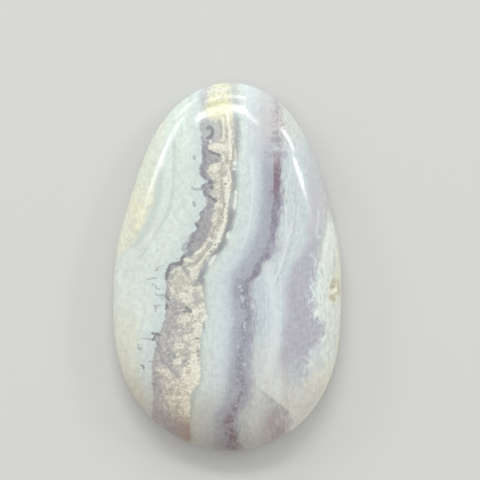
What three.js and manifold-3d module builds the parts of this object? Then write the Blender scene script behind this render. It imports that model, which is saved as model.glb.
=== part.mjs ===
// A chalcedony cabochon: one egg-shaped stone with a domed, polished face, a thin girdle and
// a flat back with a bevelled edge. A small natural pit opens beside the girdle on its right.
//
// Millimetres, +Z up. The flat back lies on Z = 0 and the dome faces +Z. The origin is on the
// back, under the middle of the stone's box. +Y points to the narrow end.

import * as THREE from "three";
import { mergeVertices } from "three/addons/utils/BufferGeometryUtils.js";
import Module from "manifold-3d";

// Driving dimensions
const LENGTH = 40; // wide end to narrow end
const WIDTH = 24.8; // across the widest place
const THICKNESS = 6.6; // back to the top of the dome
const GIRDLE_TOP = 1.9; // height where the dome leaves the upright girdle
const GIRDLE_BOTTOM = 1.3; // height where the girdle turns under
const BACK_INSET = 1.1; // how far the flat back stays inside the girdle

// The outline is a circle bent by five pairs of waves, each a share of the mean radius. The
// second pair makes it long, the first and third make one end narrow, and the fourth and
// fifth fill its shoulders.
const COSINE_WAVES = [0.005, -0.247, -0.006, 0.033, 0.003];
const SINE_WAVES = [-0.05, 0.0055, -0.0305, 0, 0.016];

// The dome is an ellipse in section where this is 1. Less gives a flatter crown and fuller
// shoulders.
const CROWN_ROUNDNESS = 0.7;

// The natural pit: a shallow oval hollow beside the girdle, long side along the edge
const PIT_BEARING = -0.18; // radians from +X about the stone's middle
const PIT_INSET = 0.85; // from the outline to the pit's middle
const PIT_LENGTH = 1.9;
const PIT_WIDTH = 0.9;
const PIT_DEPTH = 0.3;

// How finely the faces are cut
const BEARINGS = 104; // steps around the outline
const DOME_STEPS = 18; // from the crown to the girdle
const UNDER_STEPS = 4; // from the girdle to the back
const PIT_DETAIL = 14; // steps around the pit
const BOX_SAMPLES = 3600; // points of the outline that are measured to size it
const JOIN_WITHIN = 1e-4; // points this near each other are one

const STONE_COLOUR = 0xcdd6d9;
const STONE_ROUGHNESS = 0.12;

// Distance from the middle to the outline at a bearing, before it is brought to size
function waveRadius(bearing) {
  let radius = 1;
  COSINE_WAVES.forEach((share, i) => {
    radius += share * Math.cos((i + 1) * bearing);
    radius += SINE_WAVES[i] * Math.sin((i + 1) * bearing);
  });
  return radius;
}

// The box round the unsized outline, so that the sized one has the stated length and width
// and its middle on the origin
function waveBox() {
  const box = new THREE.Box2();
  for (let i = 0; i < BOX_SAMPLES; i++) {
    const bearing = (i / BOX_SAMPLES) * 2 * Math.PI;
    const radius = waveRadius(bearing);
    box.expandByPoint(
      new THREE.Vector2(
        radius * Math.cos(bearing),
        radius * Math.sin(bearing),
      ),
    );
  }
  return box;
}

const WAVE_BOX = waveBox();
const WAVE_SIZE = WAVE_BOX.getSize(new THREE.Vector2());
const WAVE_MIDDLE = WAVE_BOX.getCenter(new THREE.Vector2());

// A point of the outline
function outline(bearing) {
  const radius = waveRadius(bearing);
  return new THREE.Vector2(
    ((radius * Math.cos(bearing) - WAVE_MIDDLE.x) * WIDTH) / WAVE_SIZE.x,
    ((radius * Math.sin(bearing) - WAVE_MIDDLE.y) * LENGTH) / WAVE_SIZE.y,
  );
}

// Height of the dome at a share of the way from the middle to the outline
function domeHeight(share) {
  const squared = share * share;
  const fall =
    CROWN_ROUNDNESS * squared + (1 - CROWN_ROUNDNESS) * squared * squared;
  return (
    GIRDLE_TOP + (THICKNESS - GIRDLE_TOP) * Math.sqrt(Math.max(0, 1 - fall))
  );
}

// The section from the middle of the back, out round the girdle and up to the crown. x is the
// share of the way to the outline and y is the height. The part under the girdle is a quarter
// of an ellipse.
function section() {
  const backShare = 1 - BACK_INSET / (WIDTH / 2);
  const points = [new THREE.Vector2(0, 0)];
  for (let i = 0; i <= UNDER_STEPS; i++) {
    const turn = ((i / UNDER_STEPS) * Math.PI) / 2;
    points.push(
      new THREE.Vector2(
        backShare + (1 - backShare) * Math.sin(turn),
        GIRDLE_BOTTOM * (1 - Math.cos(turn)),
      ),
    );
  }
  for (let i = DOME_STEPS; i > 0; i--) {
    const share = Math.sin(((i / DOME_STEPS) * Math.PI) / 2);
    points.push(new THREE.Vector2(share, domeHeight(share)));
  }
  points.push(new THREE.Vector2(0, THICKNESS));
  return points;
}

// A lathe turns the section into a round stone about its upright axis, and each of its points
// is then moved out to the egg's outline at its own bearing.
function stoneGeometry() {
  const geometry = new THREE.LatheGeometry(section(), BEARINGS);
  geometry.rotateX(Math.PI / 2);
  const position = geometry.getAttribute("position");
  for (let i = 0; i < position.count; i++) {
    const x = position.getX(i);
    const y = position.getY(i);
    const share = Math.hypot(x, y);
    const edge = outline(Math.atan2(y, x));
    position.setXY(i, share * edge.x, share * edge.y);
  }
  return geometry;
}

// A squashed ball that sits across the surface where the pit opens
function pitGeometry() {
  const edge = outline(PIT_BEARING);
  const share = 1 - PIT_INSET / edge.length();
  const middle = edge.clone().multiplyScalar(share);
  const step = 0.01;
  const slope =
    (domeHeight(share + step) - domeHeight(share - step)) /
    (2 * step * edge.length());
  const ball = new THREE.SphereGeometry(0.5, PIT_DETAIL, PIT_DETAIL / 2);
  ball.scale(PIT_WIDTH, PIT_LENGTH, 2 * PIT_DEPTH);
  ball.rotateY(-Math.atan(slope));
  ball.rotateZ(PIT_BEARING);
  ball.translate(middle.x, middle.y, domeHeight(share));
  return ball;
}

const wasm = await Module();
wasm.setup();

// A closed geometry as a solid
function solid(geometry) {
  const bare = geometry.clone();
  bare.deleteAttribute("normal");
  bare.deleteAttribute("uv");
  const merged = mergeVertices(bare, JOIN_WITHIN);
  return new wasm.Manifold(
    new wasm.Mesh({
      numProp: 3,
      vertProperties: merged.getAttribute("position").array,
      triVerts: new Uint32Array(merged.index.array),
    }),
  );
}

// A solid as a geometry
function geometryOf(made) {
  const mesh = made.getMesh();
  const geometry = new THREE.BufferGeometry();
  geometry.setAttribute(
    "position",
    new THREE.BufferAttribute(mesh.vertProperties, 3),
  );
  geometry.setIndex(new THREE.BufferAttribute(mesh.triVerts, 1));
  geometry.computeVertexNormals();
  return geometry;
}

const stoneMaterial = new THREE.MeshStandardMaterial({
  color: STONE_COLOUR,
  roughness: STONE_ROUGHNESS,
  metalness: 0,
});

const cabochon = new THREE.Mesh(
  geometryOf(solid(stoneGeometry()).subtract(solid(pitGeometry()))),
  stoneMaterial,
);
cabochon.name = "cabochon";

const part = new THREE.Group();
part.add(cabochon);

export default part;
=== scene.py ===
"""A polished chalcedony cabochon with banded blue, grey and cream stone, on a pale studio floor.

Metres. The flat back lies on Z = 0, the dome faces +Z and +Y points to the narrow end.
"""

import math

import bmesh
import bpy
from bpy.props import FloatProperty, FloatVectorProperty, PointerProperty
from mathutils import Matrix, Vector, noise


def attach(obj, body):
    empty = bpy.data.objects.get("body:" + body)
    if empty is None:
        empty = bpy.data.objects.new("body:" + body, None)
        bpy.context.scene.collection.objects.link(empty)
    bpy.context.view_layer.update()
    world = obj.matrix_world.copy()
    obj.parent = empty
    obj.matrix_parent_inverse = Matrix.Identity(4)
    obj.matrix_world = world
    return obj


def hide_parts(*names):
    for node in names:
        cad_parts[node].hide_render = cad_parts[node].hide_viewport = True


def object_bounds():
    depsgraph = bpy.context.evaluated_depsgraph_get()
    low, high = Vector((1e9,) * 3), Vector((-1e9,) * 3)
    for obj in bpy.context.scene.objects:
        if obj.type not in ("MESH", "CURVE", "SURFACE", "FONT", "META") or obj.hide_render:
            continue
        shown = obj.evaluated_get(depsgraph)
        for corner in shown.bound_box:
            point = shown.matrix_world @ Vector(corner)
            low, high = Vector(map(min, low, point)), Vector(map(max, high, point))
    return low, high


bl_info = {
    "name": "Chalcedony cabochon",
    "version": (1, 0, 0),
    "blender": (4, 5, 0),
    "location": "3D Viewport > Sidebar > Cabochon",
    "description": "Builds a banded, polished chalcedony cabochon and a pale studio round it",
    "category": "Add Mesh",
}

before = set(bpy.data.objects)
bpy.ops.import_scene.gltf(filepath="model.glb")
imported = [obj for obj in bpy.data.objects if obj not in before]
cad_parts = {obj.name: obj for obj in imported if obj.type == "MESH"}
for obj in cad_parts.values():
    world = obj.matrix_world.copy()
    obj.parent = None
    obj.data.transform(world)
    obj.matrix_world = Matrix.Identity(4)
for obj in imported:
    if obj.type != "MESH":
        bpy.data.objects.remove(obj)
CAD_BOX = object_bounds()
CAD_SIZE = CAD_BOX[1] - CAD_BOX[0]

MM = 0.001


def shade(red, green, blue):
    """A colour as it looks on a screen, from 0 to 255, in the linear values that Blender mixes."""
    return tuple(
        part / 12.92 if part <= 0.04045 else ((part + 0.055) / 1.055) ** 2.4
        for part in (red / 255, green / 255, blue / 255)
    )


def tone(colour, *factors):
    """A colour made lighter or darker, by one factor or by one for each of its parts."""
    if len(factors) == 1:
        factors = factors * 3
    return tuple(part * factor for part, factor in zip(colour, factors))


def tones(colour, *stops):
    """The stops of a ramp in tones of one colour, each from its position and its factors."""
    return [(position, tone(colour, *factors)) for position, *factors in stops]


def between(first, second, share):
    """A colour part of the way from one to another."""
    return tuple(a + (b - a) * share for a, b in zip(first, second))


# Outline and section in millimetres, the same as in the solid

# The outline is a circle bent by five pairs of waves, each a share of the mean radius. The shares
# were fitted to the stone's edge.
COSINE_WAVES = (0.005, -0.247, -0.006, 0.033, 0.003)
SINE_WAVES = (-0.05, 0.0055, -0.0305, 0, 0.016)
CROWN_ROUNDNESS = 0.7
GIRDLE_TOP = 1.9
GIRDLE_BOTTOM = 1.3
BACK_INSET = 1.1
PIT_BEARING = -0.18
PIT_INSET = 0.85
PIT_LENGTH = 1.9
PIT_WIDTH = 0.9
PIT_DEPTH = 0.3

# How many points of the outline are measured to size it
BOX_SAMPLES = 3600

# How finely the stone's skin is cut
BEARINGS = 400
DOME_RINGS = 96
GIRDLE_RINGS = 6
UNDER_RINGS = 16
BACK_RINGS = 14
# How much closer the steps are towards the pit's side
PIT_CROWDING = 0.55
# Metres within which two points are one
JOIN_WITHIN = 1e-7
# The pit's wall is this much steeper than one that falls evenly to its middle
PIT_STEEPNESS = 2.2
# The pit's floor as a share of its depth, and the crumbs on it: how many to the millimetre and how
# deep they go
PIT_FLOOR = 0.85
PIT_CRUMBS = 4
PIT_CRUMB_DEPTH = 0.35
# Width of each half of the flat map, as a share of the whole map
MAP_WIDTH = 0.48


def wave_radius(bearing):
    """Distance from the middle to the outline at a bearing, before it is brought to size."""
    radius = 1
    for i, (cosine, sine) in enumerate(zip(COSINE_WAVES, SINE_WAVES), 1):
        radius += cosine * math.cos(i * bearing) + sine * math.sin(i * bearing)
    return radius


def wave_box():
    """Middle and size of the box round the unsized outline."""
    turns = [2 * math.pi * i / BOX_SAMPLES for i in range(BOX_SAMPLES)]
    xs = [wave_radius(turn) * math.cos(turn) for turn in turns]
    ys = [wave_radius(turn) * math.sin(turn) for turn in turns]
    middle = ((max(xs) + min(xs)) / 2, (max(ys) + min(ys)) / 2)
    return middle, (max(xs) - min(xs), max(ys) - min(ys))


WAVE_MIDDLE, WAVE_SIZE = wave_box()


def outline(sizes, bearing):
    """A point of the sized outline."""
    radius = wave_radius(bearing)
    return Vector(
        (
            (radius * math.cos(bearing) - WAVE_MIDDLE[0]) * sizes.width / WAVE_SIZE[0],
            (radius * math.sin(bearing) - WAVE_MIDDLE[1]) * sizes.length / WAVE_SIZE[1],
        )
    )


def dome_height(sizes, share):
    """Height of the dome at a share of the way from the middle to the outline."""
    squared = share * share
    fall = CROWN_ROUNDNESS * squared + (1 - CROWN_ROUNDNESS) * squared * squared
    girdle = GIRDLE_TOP * MM
    return girdle + (sizes.thickness - girdle) * math.sqrt(max(0, 1 - fall))


def section(sizes):
    """Share of the way out and height, from the crown over the girdle to the back's middle."""
    quarter = math.pi / 2
    back_share = 1 - BACK_INSET * MM / (sizes.width / 2)
    points = []
    for i in range(DOME_RINGS + 1):
        share = math.sin(quarter * i / DOME_RINGS)
        points.append((share, dome_height(sizes, share)))
    for i in range(1, GIRDLE_RINGS):
        part = i / GIRDLE_RINGS
        points.append((1, (GIRDLE_TOP + (GIRDLE_BOTTOM - GIRDLE_TOP) * part) * MM))
    for i in range(UNDER_RINGS + 1):
        turn = quarter * (1 - i / UNDER_RINGS)
        share = back_share + (1 - back_share) * math.sin(turn)
        points.append((share, GIRDLE_BOTTOM * MM * (1 - math.cos(turn))))
    for i in range(1, BACK_RINGS + 1):
        points.append((back_share * (1 - i / BACK_RINGS), 0))
    return points


# The stone is looked at from straight above this place of it, from this high over its girdle
VIEW_MIDDLE = (1.39, 2.88)
VIEW_HEIGHT = 250
# How far across and along the lines and marks below were read beside their places
READING_SLIP = (0.03, -0.08)

# Where the bands run, placed in millimetres as (along, across), from the narrow end to the
# wide one. The first line is the cream patch's border and the rest go from left to right.

CREAM_PATCH_END = (
    (20, -6.2), (13, -7.3), (10, -8.05), (8, -8.05), (7, -8.1), (6.3, -8.4), (5.5, -8.75),
    (4.8, -9), (4.2, -9.3), (3.5, -9.75), (3, -10), (2.3, -10.5), (1.7, -11.2), (1, -12),
    (-20, -13),
)
LEFT_BREAK = (
    (20, -2.5), (18.5, -2.9), (16, -2.9), (15.2, -3), (14.5, -2.8), (13, -2.8), (12.4, -2.8),
    (12, -2.7), (11.5, -2.75), (11.1, -2.95), (10.5, -3), (10.1, -2.9), (9.7, -2.7), (9.4, -2.4),
    (9.2, -2.35), (9, -2.75), (8.6, -2.85), (8.2, -2.7), (7.9, -2.6), (7.6, -2.45), (7.4, -2.3),
    (7, -2.25), (6.6, -2.3), (6.4, -2.55), (6.2, -2.7), (5.95, -3), (5.5, -2.9), (5.2, -3.1),
    (4.9, -3.45), (4.4, -3.4), (4.1, -3.4), (3.9, -3.6), (3.6, -3.9), (3.1, -4), (2.9, -4.1),
    (2.5, -4.35), (2.1, -4.4), (1.7, -4.4), (1.45, -4.6), (1.1, -5), (0.7, -5.2), (0.5, -5.7),
    (0.2, -6.25), (-0.3, -6.5), (-0.8, -6.75), (-1.3, -6.75), (-2, -6.65), (-2.7, -6.7),
    (-3.5, -6.7), (-5, -6.75), (-5.8, -6.85), (-6.3, -7.1), (-7, -7.3), (-7.2, -7.9), (-7.8, -8),
    (-8.2, -7.75), (-8.8, -7.8), (-9.8, -8.1), (-12, -8.2), (-14, -8.1), (-20, -8.6),
)
DRUZY_START = (
    (20, -1.9), (18, -2.3), (17.2, -2.5), (16.5, -2.3), (15.8, -1.35), (15.2, -0.95), (14.2, -0.9),
    (13.6, -1.2), (13.3, -1.9), (13, -2.1), (12.7, -1.9), (12.4, -1.3), (12.2, -0.8),
    (11.8, -0.75), (11.5, -0.95), (11.25, -1.7), (11.1, -2.15), (10.5, -2.2), (10, -2.1),
    (9.7, -1.85), (9.4, -1.6), (8.6, -1.5), (8.2, -1.75), (7.9, -1.95), (7.7, -1.8), (7.4, -1.4),
    (7.1, -1.15), (6.9, -1.4), (6.5, -1.55), (6, -1.45), (5.5, -1.75), (4.6, -1.7), (4, -1.95),
    (3.2, -2.2), (2.6, -2.6), (2.1, -2.95), (1.7, -3.5), (1.2, -4.1), (1, -4.8), (0.6, -4.9),
    (0.1, -5.1), (-0.1, -5.8), (-0.5, -6.2), (-1, -6.4), (-1.6, -6.35), (-2.2, -6.3), (-3, -6.1),
    (-4, -5.2), (-5, -5.15), (-6, -5.6), (-6.6, -5.1), (-7.2, -5), (-7.7, -5.6), (-9, -5.8),
    (-9.9, -5.7), (-10.5, -6.4), (-11.2, -7.3), (-12, -7), (-13, -6.9), (-13.8, -6.6),
    (-15.2, -6.3), (-16, -5.8), (-17, -5.2), (-20, -4.3),
)
DRUZY_END = (
    (20, 0.3), (17, 0.6), (14.5, 0.8), (13.3, 0.75), (12, 1), (10.8, 0.45), (9.8, 0.45), (9, 0.5),
    (8, 0.4), (7, 0.15), (6, 0.1), (5, 0), (4.3, -0.2), (3.5, -0.5), (2.9, -0.65), (2.5, -0.95),
    (2, -1.2), (1.6, -1.6), (1.2, -2), (0.7, -2.2), (0.3, -2.6), (-0.2, -2.9), (-0.8, -3.1),
    (-1.5, -3.15), (-1.8, -2.9), (-2.5, -2.7), (-4, -2.5), (-5, -2.25), (-5.5, -2.2), (-6, -2.6),
    (-7, -2.75), (-8, -3), (-10, -3.05), (-11, -2.95), (-12.6, -3.1), (-13, -3.5), (-13.6, -3.9),
    (-15, -4), (-20, -4),
)
SEAM_END = (
    (20, 1.1), (15, 1.4), (13.2, 1.4), (12, 1.2), (9, 1.15), (8, 1.15), (6.3, 1), (5.5, 0.95),
    (5, 0.75), (4.3, 0.65), (3.9, 0.3), (3.4, -0.15), (3, 0), (2.5, 0.05), (2, -0.35),
    (1.6, -0.65), (1.2, -1), (0.6, -1.4), (0, -1.9), (-0.5, -2.1), (-1, -2.4), (-1.7, -2.3),
    (-2.5, -2.3), (-4, -2.2), (-5.2, -2), (-6, -2.3), (-8, -2.65), (-12, -2.7), (-15, -3.6),
    (-20, -3.8),
)
LAVENDER_START = (
    (20, 3.1), (12, 3.3), (9, 3.4), (5, 3.1), (4, 2.9), (3, 2.4), (2, 2), (1, 1.4), (0, 0.75),
    (-1, 0.15), (-3, 0.1), (-4, 0.05), (-6, 0.3), (-7, 0.1), (-9, 0), (-11, -0.1), (-13, -0.4),
    (-14, -0.6), (-15, -1), (-16, -1.6), (-20, -1.7),
)
PURPLE_LINE = (
    (20, 5.2), (15, 5.3), (12.3, 5.38), (10, 5.4), (9, 5.33), (8.2, 5.3), (7.7, 5.42), (7, 5.35),
    (6, 5.15), (5.2, 5.17), (4.7, 5.12), (4.2, 4.97), (3, 4.82), (2.3, 4.5), (1.7, 4.25),
    (1.1, 4.05), (0.4, 3.5), (0, 3.3), (-0.5, 3.15), (-1.05, 2.75), (-1.4, 2.3), (-1.7, 2),
    (-2.8, 1.85), (-3.3, 2.05), (-4.2, 1.9), (-4.8, 2.3), (-5.5, 2.2), (-6.3, 1.8), (-7.7, 1.8),
    (-9.5, 1.3), (-11.5, 1.3), (-12.5, 1.4), (-13.5, 1.5), (-14.3, 1.2), (-15.5, 0.6),
    (-16.5, 0.2), (-17.5, 0.35), (-20, 0.6),
)
PURPLE_END = (
    (20, 6), (9, 6.1), (7, 6.3), (5, 5.9), (3, 5.7), (2, 6.1), (1.4, 5.4), (0.8, 4.6), (-0.5, 4),
    (-1.5, 3.2), (-2.2, 3), (-4, 3.3), (-6, 3.5), (-9, 3.2), (-11, 3.3), (-13, 3.5), (-15, 2.6),
    (-16, 1.7), (-20, 1.8),
)
RIGHT_BAND_START = (
    (20, 8.4), (12, 8.7), (9, 9), (5, 8.95), (3.7, 8.7), (3, 8.85), (2.4, 8.5), (1.2, 7.95),
    (0.6, 7.5), (0.2, 7.1), (-0.6, 7), (-1.2, 6.7), (-2.2, 6.4), (-2.6, 6.3), (-3.2, 6.4),
    (-5.6, 6.4), (-6.3, 6.25), (-6.8, 5.95), (-8.3, 6), (-9, 5.7), (-9.8, 5.6), (-12, 5.9),
    (-20, 6.4),
)
RIGHT_BAND_END = (
    (20, 9.2), (12, 10.2), (6, 11), (4.6, 10.6), (2.5, 10.1), (1, 10.1), (0, 9.9), (-1.2, 9.4),
    (-2, 9), (-3, 9), (-4.3, 9.3), (-5.3, 9.3), (-6, 10), (-6.5, 10.5), (-7.5, 10.3), (-8.3, 9.8),
    (-9.3, 9), (-10.3, 8.7), (-12, 8.7), (-15, 8.2), (-20, 8),
)

# How strong some of these are along the stone, as (along, share)

RIM_STRENGTH = (
    (20, 0), (16, 0.25), (14.3, 0.4), (13.8, 0.65), (9.8, 0.65), (9.3, 0.5), (8.9, 0.75),
    (7.6, 0.65), (7.1, 0.5), (6.3, 0.45), (5.2, 0.65), (4.2, 0.4), (3.5, 0.55), (2.5, 0.55),
    (1.3, 0.3), (0.9, 0.3), (-1.2, 0.4), (-1.7, 0.6), (-3, 0.6), (-3.8, 0.3), (-6, 0.15),
    (-7.4, 0.1), (-8.4, 0.4), (-9.2, 0.1), (-12, 0.1), (-20, 0),
)
SEAM_STRENGTH = (
    (20, 0.3), (16.5, 0.45), (15.5, 0.75), (12, 0.7), (11.4, 0.35), (10.6, 0.4), (10.2, 0.8),
    (8.3, 0.8), (7.9, 0.5), (6.5, 0.6), (6, 0.95), (3, 1), (1.4, 0.95), (0.8, 0.3), (-0.3, 0.5),
    (-1.2, 0.95), (-2, 0.6), (-3.4, 0.5), (-6, 0.3), (-20, 0.3),
)
BAND_STRENGTH = ((20, 0.2), (17, 0.45), (15, 0.55), (13.5, 0.75), (12, 1), (-15, 1), (-20, 1))
CORE_STRENGTH = (
    (20, 0), (12.9, 0), (12.4, 0.8), (11.8, 0.95), (9, 0.85), (8.2, 0.75), (7.5, 0.75),
    (6.8, 0.75), (6.2, 0.65), (5.5, 0.75), (4.2, 0.5), (3, 0.5), (2.4, 0.25), (1.6, 0.4),
    (1.1, 0.8), (0.7, 0.5), (-0.5, 0.8), (-1.4, 0.8), (-1.9, 0.4), (-2.8, 0.85), (-3.4, 0.4),
    (-4.2, 0.75), (-5, 0.4), (-6.3, 0.6), (-7.5, 0.45), (-9.5, 0.55), (-10.5, 0.6), (-12.5, 0.9),
    (-14.5, 0.6), (-16.3, 0.9), (-17.5, 1), (-20, 0.9),
)
RIGHT_STRENGTH = (
    (20, 0), (12, 0.1), (9, 0.6), (6, 0.75), (4, 0.8), (1, 0.85), (-1, 0.95), (-8, 1), (-10, 0.8),
    (-12, 0.55), (-14, 0.3), (-20, 0.2),
)

# How light the smoky stone and the left side are along the stone, beside their own colours. They
# were tuned until the picture's measured lightness came close to the real stone's.

SMOKE_LIGHT = (
    (20, 1.3), (17, 1.25), (16.2, 1.12), (14.8, 1.08), (14, 1.02), (13, 1), (12.2, 0.91),
    (9.5, 0.9), (8.6, 0.95), (7, 0.98), (5, 0.93), (2, 0.95), (0, 0.98), (-4, 0.96), (-6, 0.97),
    (-9, 1.07), (-14, 1.06), (-20, 0.98),
)
LEFT_LIGHT = ((20, 1.03), (5, 1.05), (1, 1.04), (-3, 1.08), (-6, 1.08), (-10, 1.06), (-20, 1.02))

# Drawn marks, placed in groups of one colour. An oval is its middle across and along, its width
# and height, and its turn in degrees where it has one. A stroke is half its width and the points
# that it joins, as (across, along). A trace is half its width, its strength, and the points of its
# length, as (along, across).

GREY_PATCHES = (
    (-1.6, 11.8, 1.6, 0.9), (-1.75, 7.15, 1.1, 0.9, 30), (-1.8, 6.3, 0.6, 1), (-6.1, -1, 0.6, 0.6),
    (-3.1, 0.8, 1.2, 0.5, 40), (-2, 2.35, 0.9, 0.5, 30), (-2.45, 0.4, 0.45, 0.8),
    (-2.5, -0.45, 1, 0.9), (-3.2, -1.5, 0.6, 1, -20), (-3.6, -1.8, 0.7, 0.6),
    (-5.4, -4.3, 1.3, 1.1), (-5.9, -5.2, 1.1, 1.3), (-5.55, -5.3, 0.35, 0.8), (-5, -6.9, 2.4, 0.7),
    (-6.4, -9.5, 1.3, 1), (-6.2, -10.6, 0.8, 0.8), (-4.5, -9.3, 0.8, 0.7),
    (-4.7, -10.35, 0.5, 0.7, -30), (-5.6, -11.5, 0.7, 1.2, 30), (-3.4, -3.5, 1.1, 1),
    (-4.9, -17.7, 1.8, 1.6),
)
OLIVE_PATCHES = (
    (-0.55, 10.6, 0.45, 1.8), (-0.15, 14.5, 0.4, 0.8), (-0.65, 8.7, 0.3, 1.4),
    (-1.75, 3.5, 0.4, 0.6), (-2.4, 1.65, 0.6, 0.5, 40), (-3, 1, 1.5, 0.35, 45),
    (-3.6, 0.4, 0.7, 0.35, 20), (-5.2, -6.35, 0.8, 0.6), (-3.8, -5.75, 0.35, 0.45),
    (-4.2, -6.2, 0.7, 0.5, 30), (-5.4, -2, 0.4, 1.4), (-4.3, -11.4, 0.35, 0.5),
    (-0.9, 15.9, 0.35, 0.3), (-5.3, -9.35, 0.5, 0.6), (-5.2, -10.8, 0.9, 0.3),
    (-3.2, -9, 0.3, 0.6),
)
CREAM_PATCHES = (
    (-1.4, 10.8, 1.1, 0.8), (-0.95, 13, 1.9, 0.85), (-0.95, 6.85, 0.8, 0.5),
    (-1.5, 5.25, 0.6, 0.4), (-0.8, 3.5, 0.6, 0.9, -15), (-1.1, 2.9, 0.8, 0.5),
    (-3.15, 1.65, 0.8, 0.25, 30), (-2.7, 2.1, 0.5, 0.3, 30), (-4.3, 0.75, 1.2, 0.4),
    (-4, -0.2, 0.9, 0.25), (-3.6, -0.75, 0.9, 1.1), (-5.2, -0.2, 0.6, 0.3),
    (-5.9, -0.35, 0.8, 0.3, 25), (-4.2, -2.3, 0.9, 0.5), (-4.7, -2.95, 0.7, 0.3),
    (-6.1, -2.5, 0.6, 0.7), (-4.3, -3.4, 1.1, 0.9), (-4.9, -5.6, 1.4, 0.8), (-3.5, -5, 0.6, 1.1),
    (-3.3, -6.3, 1.1, 0.5), (-3.6, -7.4, 0.9, 0.9), (-3.6, -8.5, 0.7, 1.3),
    (-3.6, -10.3, 0.8, 1.5), (-4.5, -11.1, 0.6, 0.5), (-4.4, -12.1, 1.1, 1),
    (-3.6, -11.8, 0.7, 1.5), (-5.5, -10.4, 0.8, 0.5), (-5.3, -8.5, 1, 0.6),
    (-5.8, -14.2, 1.5, 0.3), (-4.5, -15, 1.1, 0.4), (-1.7, 19.1, 0.5, 0.4), (-0.5, 19.2, 1.2, 0.5),
)
WHITE_SPOTS = (
    (-2.35, -5.3, 0.5, 0.3, -40), (-2.65, -5.6, 0.35, 0.2), (-3.6, -4.8, 0.3, 0.3),
    (-3.12, -8.6, 0.18, 0.5), (-3.15, -11.1, 0.35, 0.3), (-3.2, -12, 0.3, 0.4),
    (-1.85, 13.65, 0.25, 0.35), (-1.3, 10.9, 0.2, 0.3), (0.9, 8.1, 0.35, 0.45),
    (0.9, 7.6, 0.2, 0.5), (0.85, 7.2, 0.3, 0.25), (0.77, 6.7, 0.32, 0.85, -5),
    (0.8, 11.3, 0.3, 0.5), (0.75, 10.65, 0.3, 0.25), (0, 3.45, 0.2, 0.7, -20),
    (-1.65, 0.75, 0.32, 1.2, -35), (-1.3, 2.35, 0.25, 0.5, -30), (-0.9, 2.9, 0.35, 0.3),
    (-4.75, -2.9, 0.3, 0.2),
)
PALE_SPOTS = (
    (1.6, -3.4, 0.3, 0.7, 20), (1.35, -2.1, 0.4, 0.3), (1.55, -2.5, 0.25, 0.25),
    (2.75, -4.3, 0.35, 0.4), (1.85, -6.4, 0.22, 0.8), (5.3, 12.85, 0.6, 0.35, 20),
    (-7.45, -3.6, 0.9, 0.8), (-2.45, 9.25, 0.5, 0.35), (1.15, -8.6, 0.2, 0.4),
    (1.9, -10.6, 0.3, 0.3), (-0.15, -5.75, 0.3, 0.4, 30), (2.75, 5.2, 0.15, 0.8),
    (-0.5, -12.3, 0.5, 0.4), (9.4, -9.6, 0.7, 0.8), (9.1, -11.6, 0.5, 1.4),
)
LILAC_SPOTS = (
    (4.1, 1.08, 1, 0.35, 10), (3.15, -0.7, 0.5, 0.6, 30), (2.4, -1.35, 0.9, 0.35, 35),
    (1.35, -1.5, 0.7, 0.4, -20), (1.85, -2.8, 0.6, 0.35), (1.7, -4.25, 0.5, 0.4),
    (1.6, -6.6, 0.22, 0.9), (2.4, -7.7, 0.6, 0.8), (2, -2.1, 0.35, 0.5), (1.2, -2.6, 0.9, 1.2),
    (4.85, 8.2, 0.25, 0.4), (6.1, 12.2, 0.6, 0.7, 20), (5.3, 13.9, 0.9, 0.6),
    (5.2, 14.6, 0.6, 0.4),
)
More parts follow.
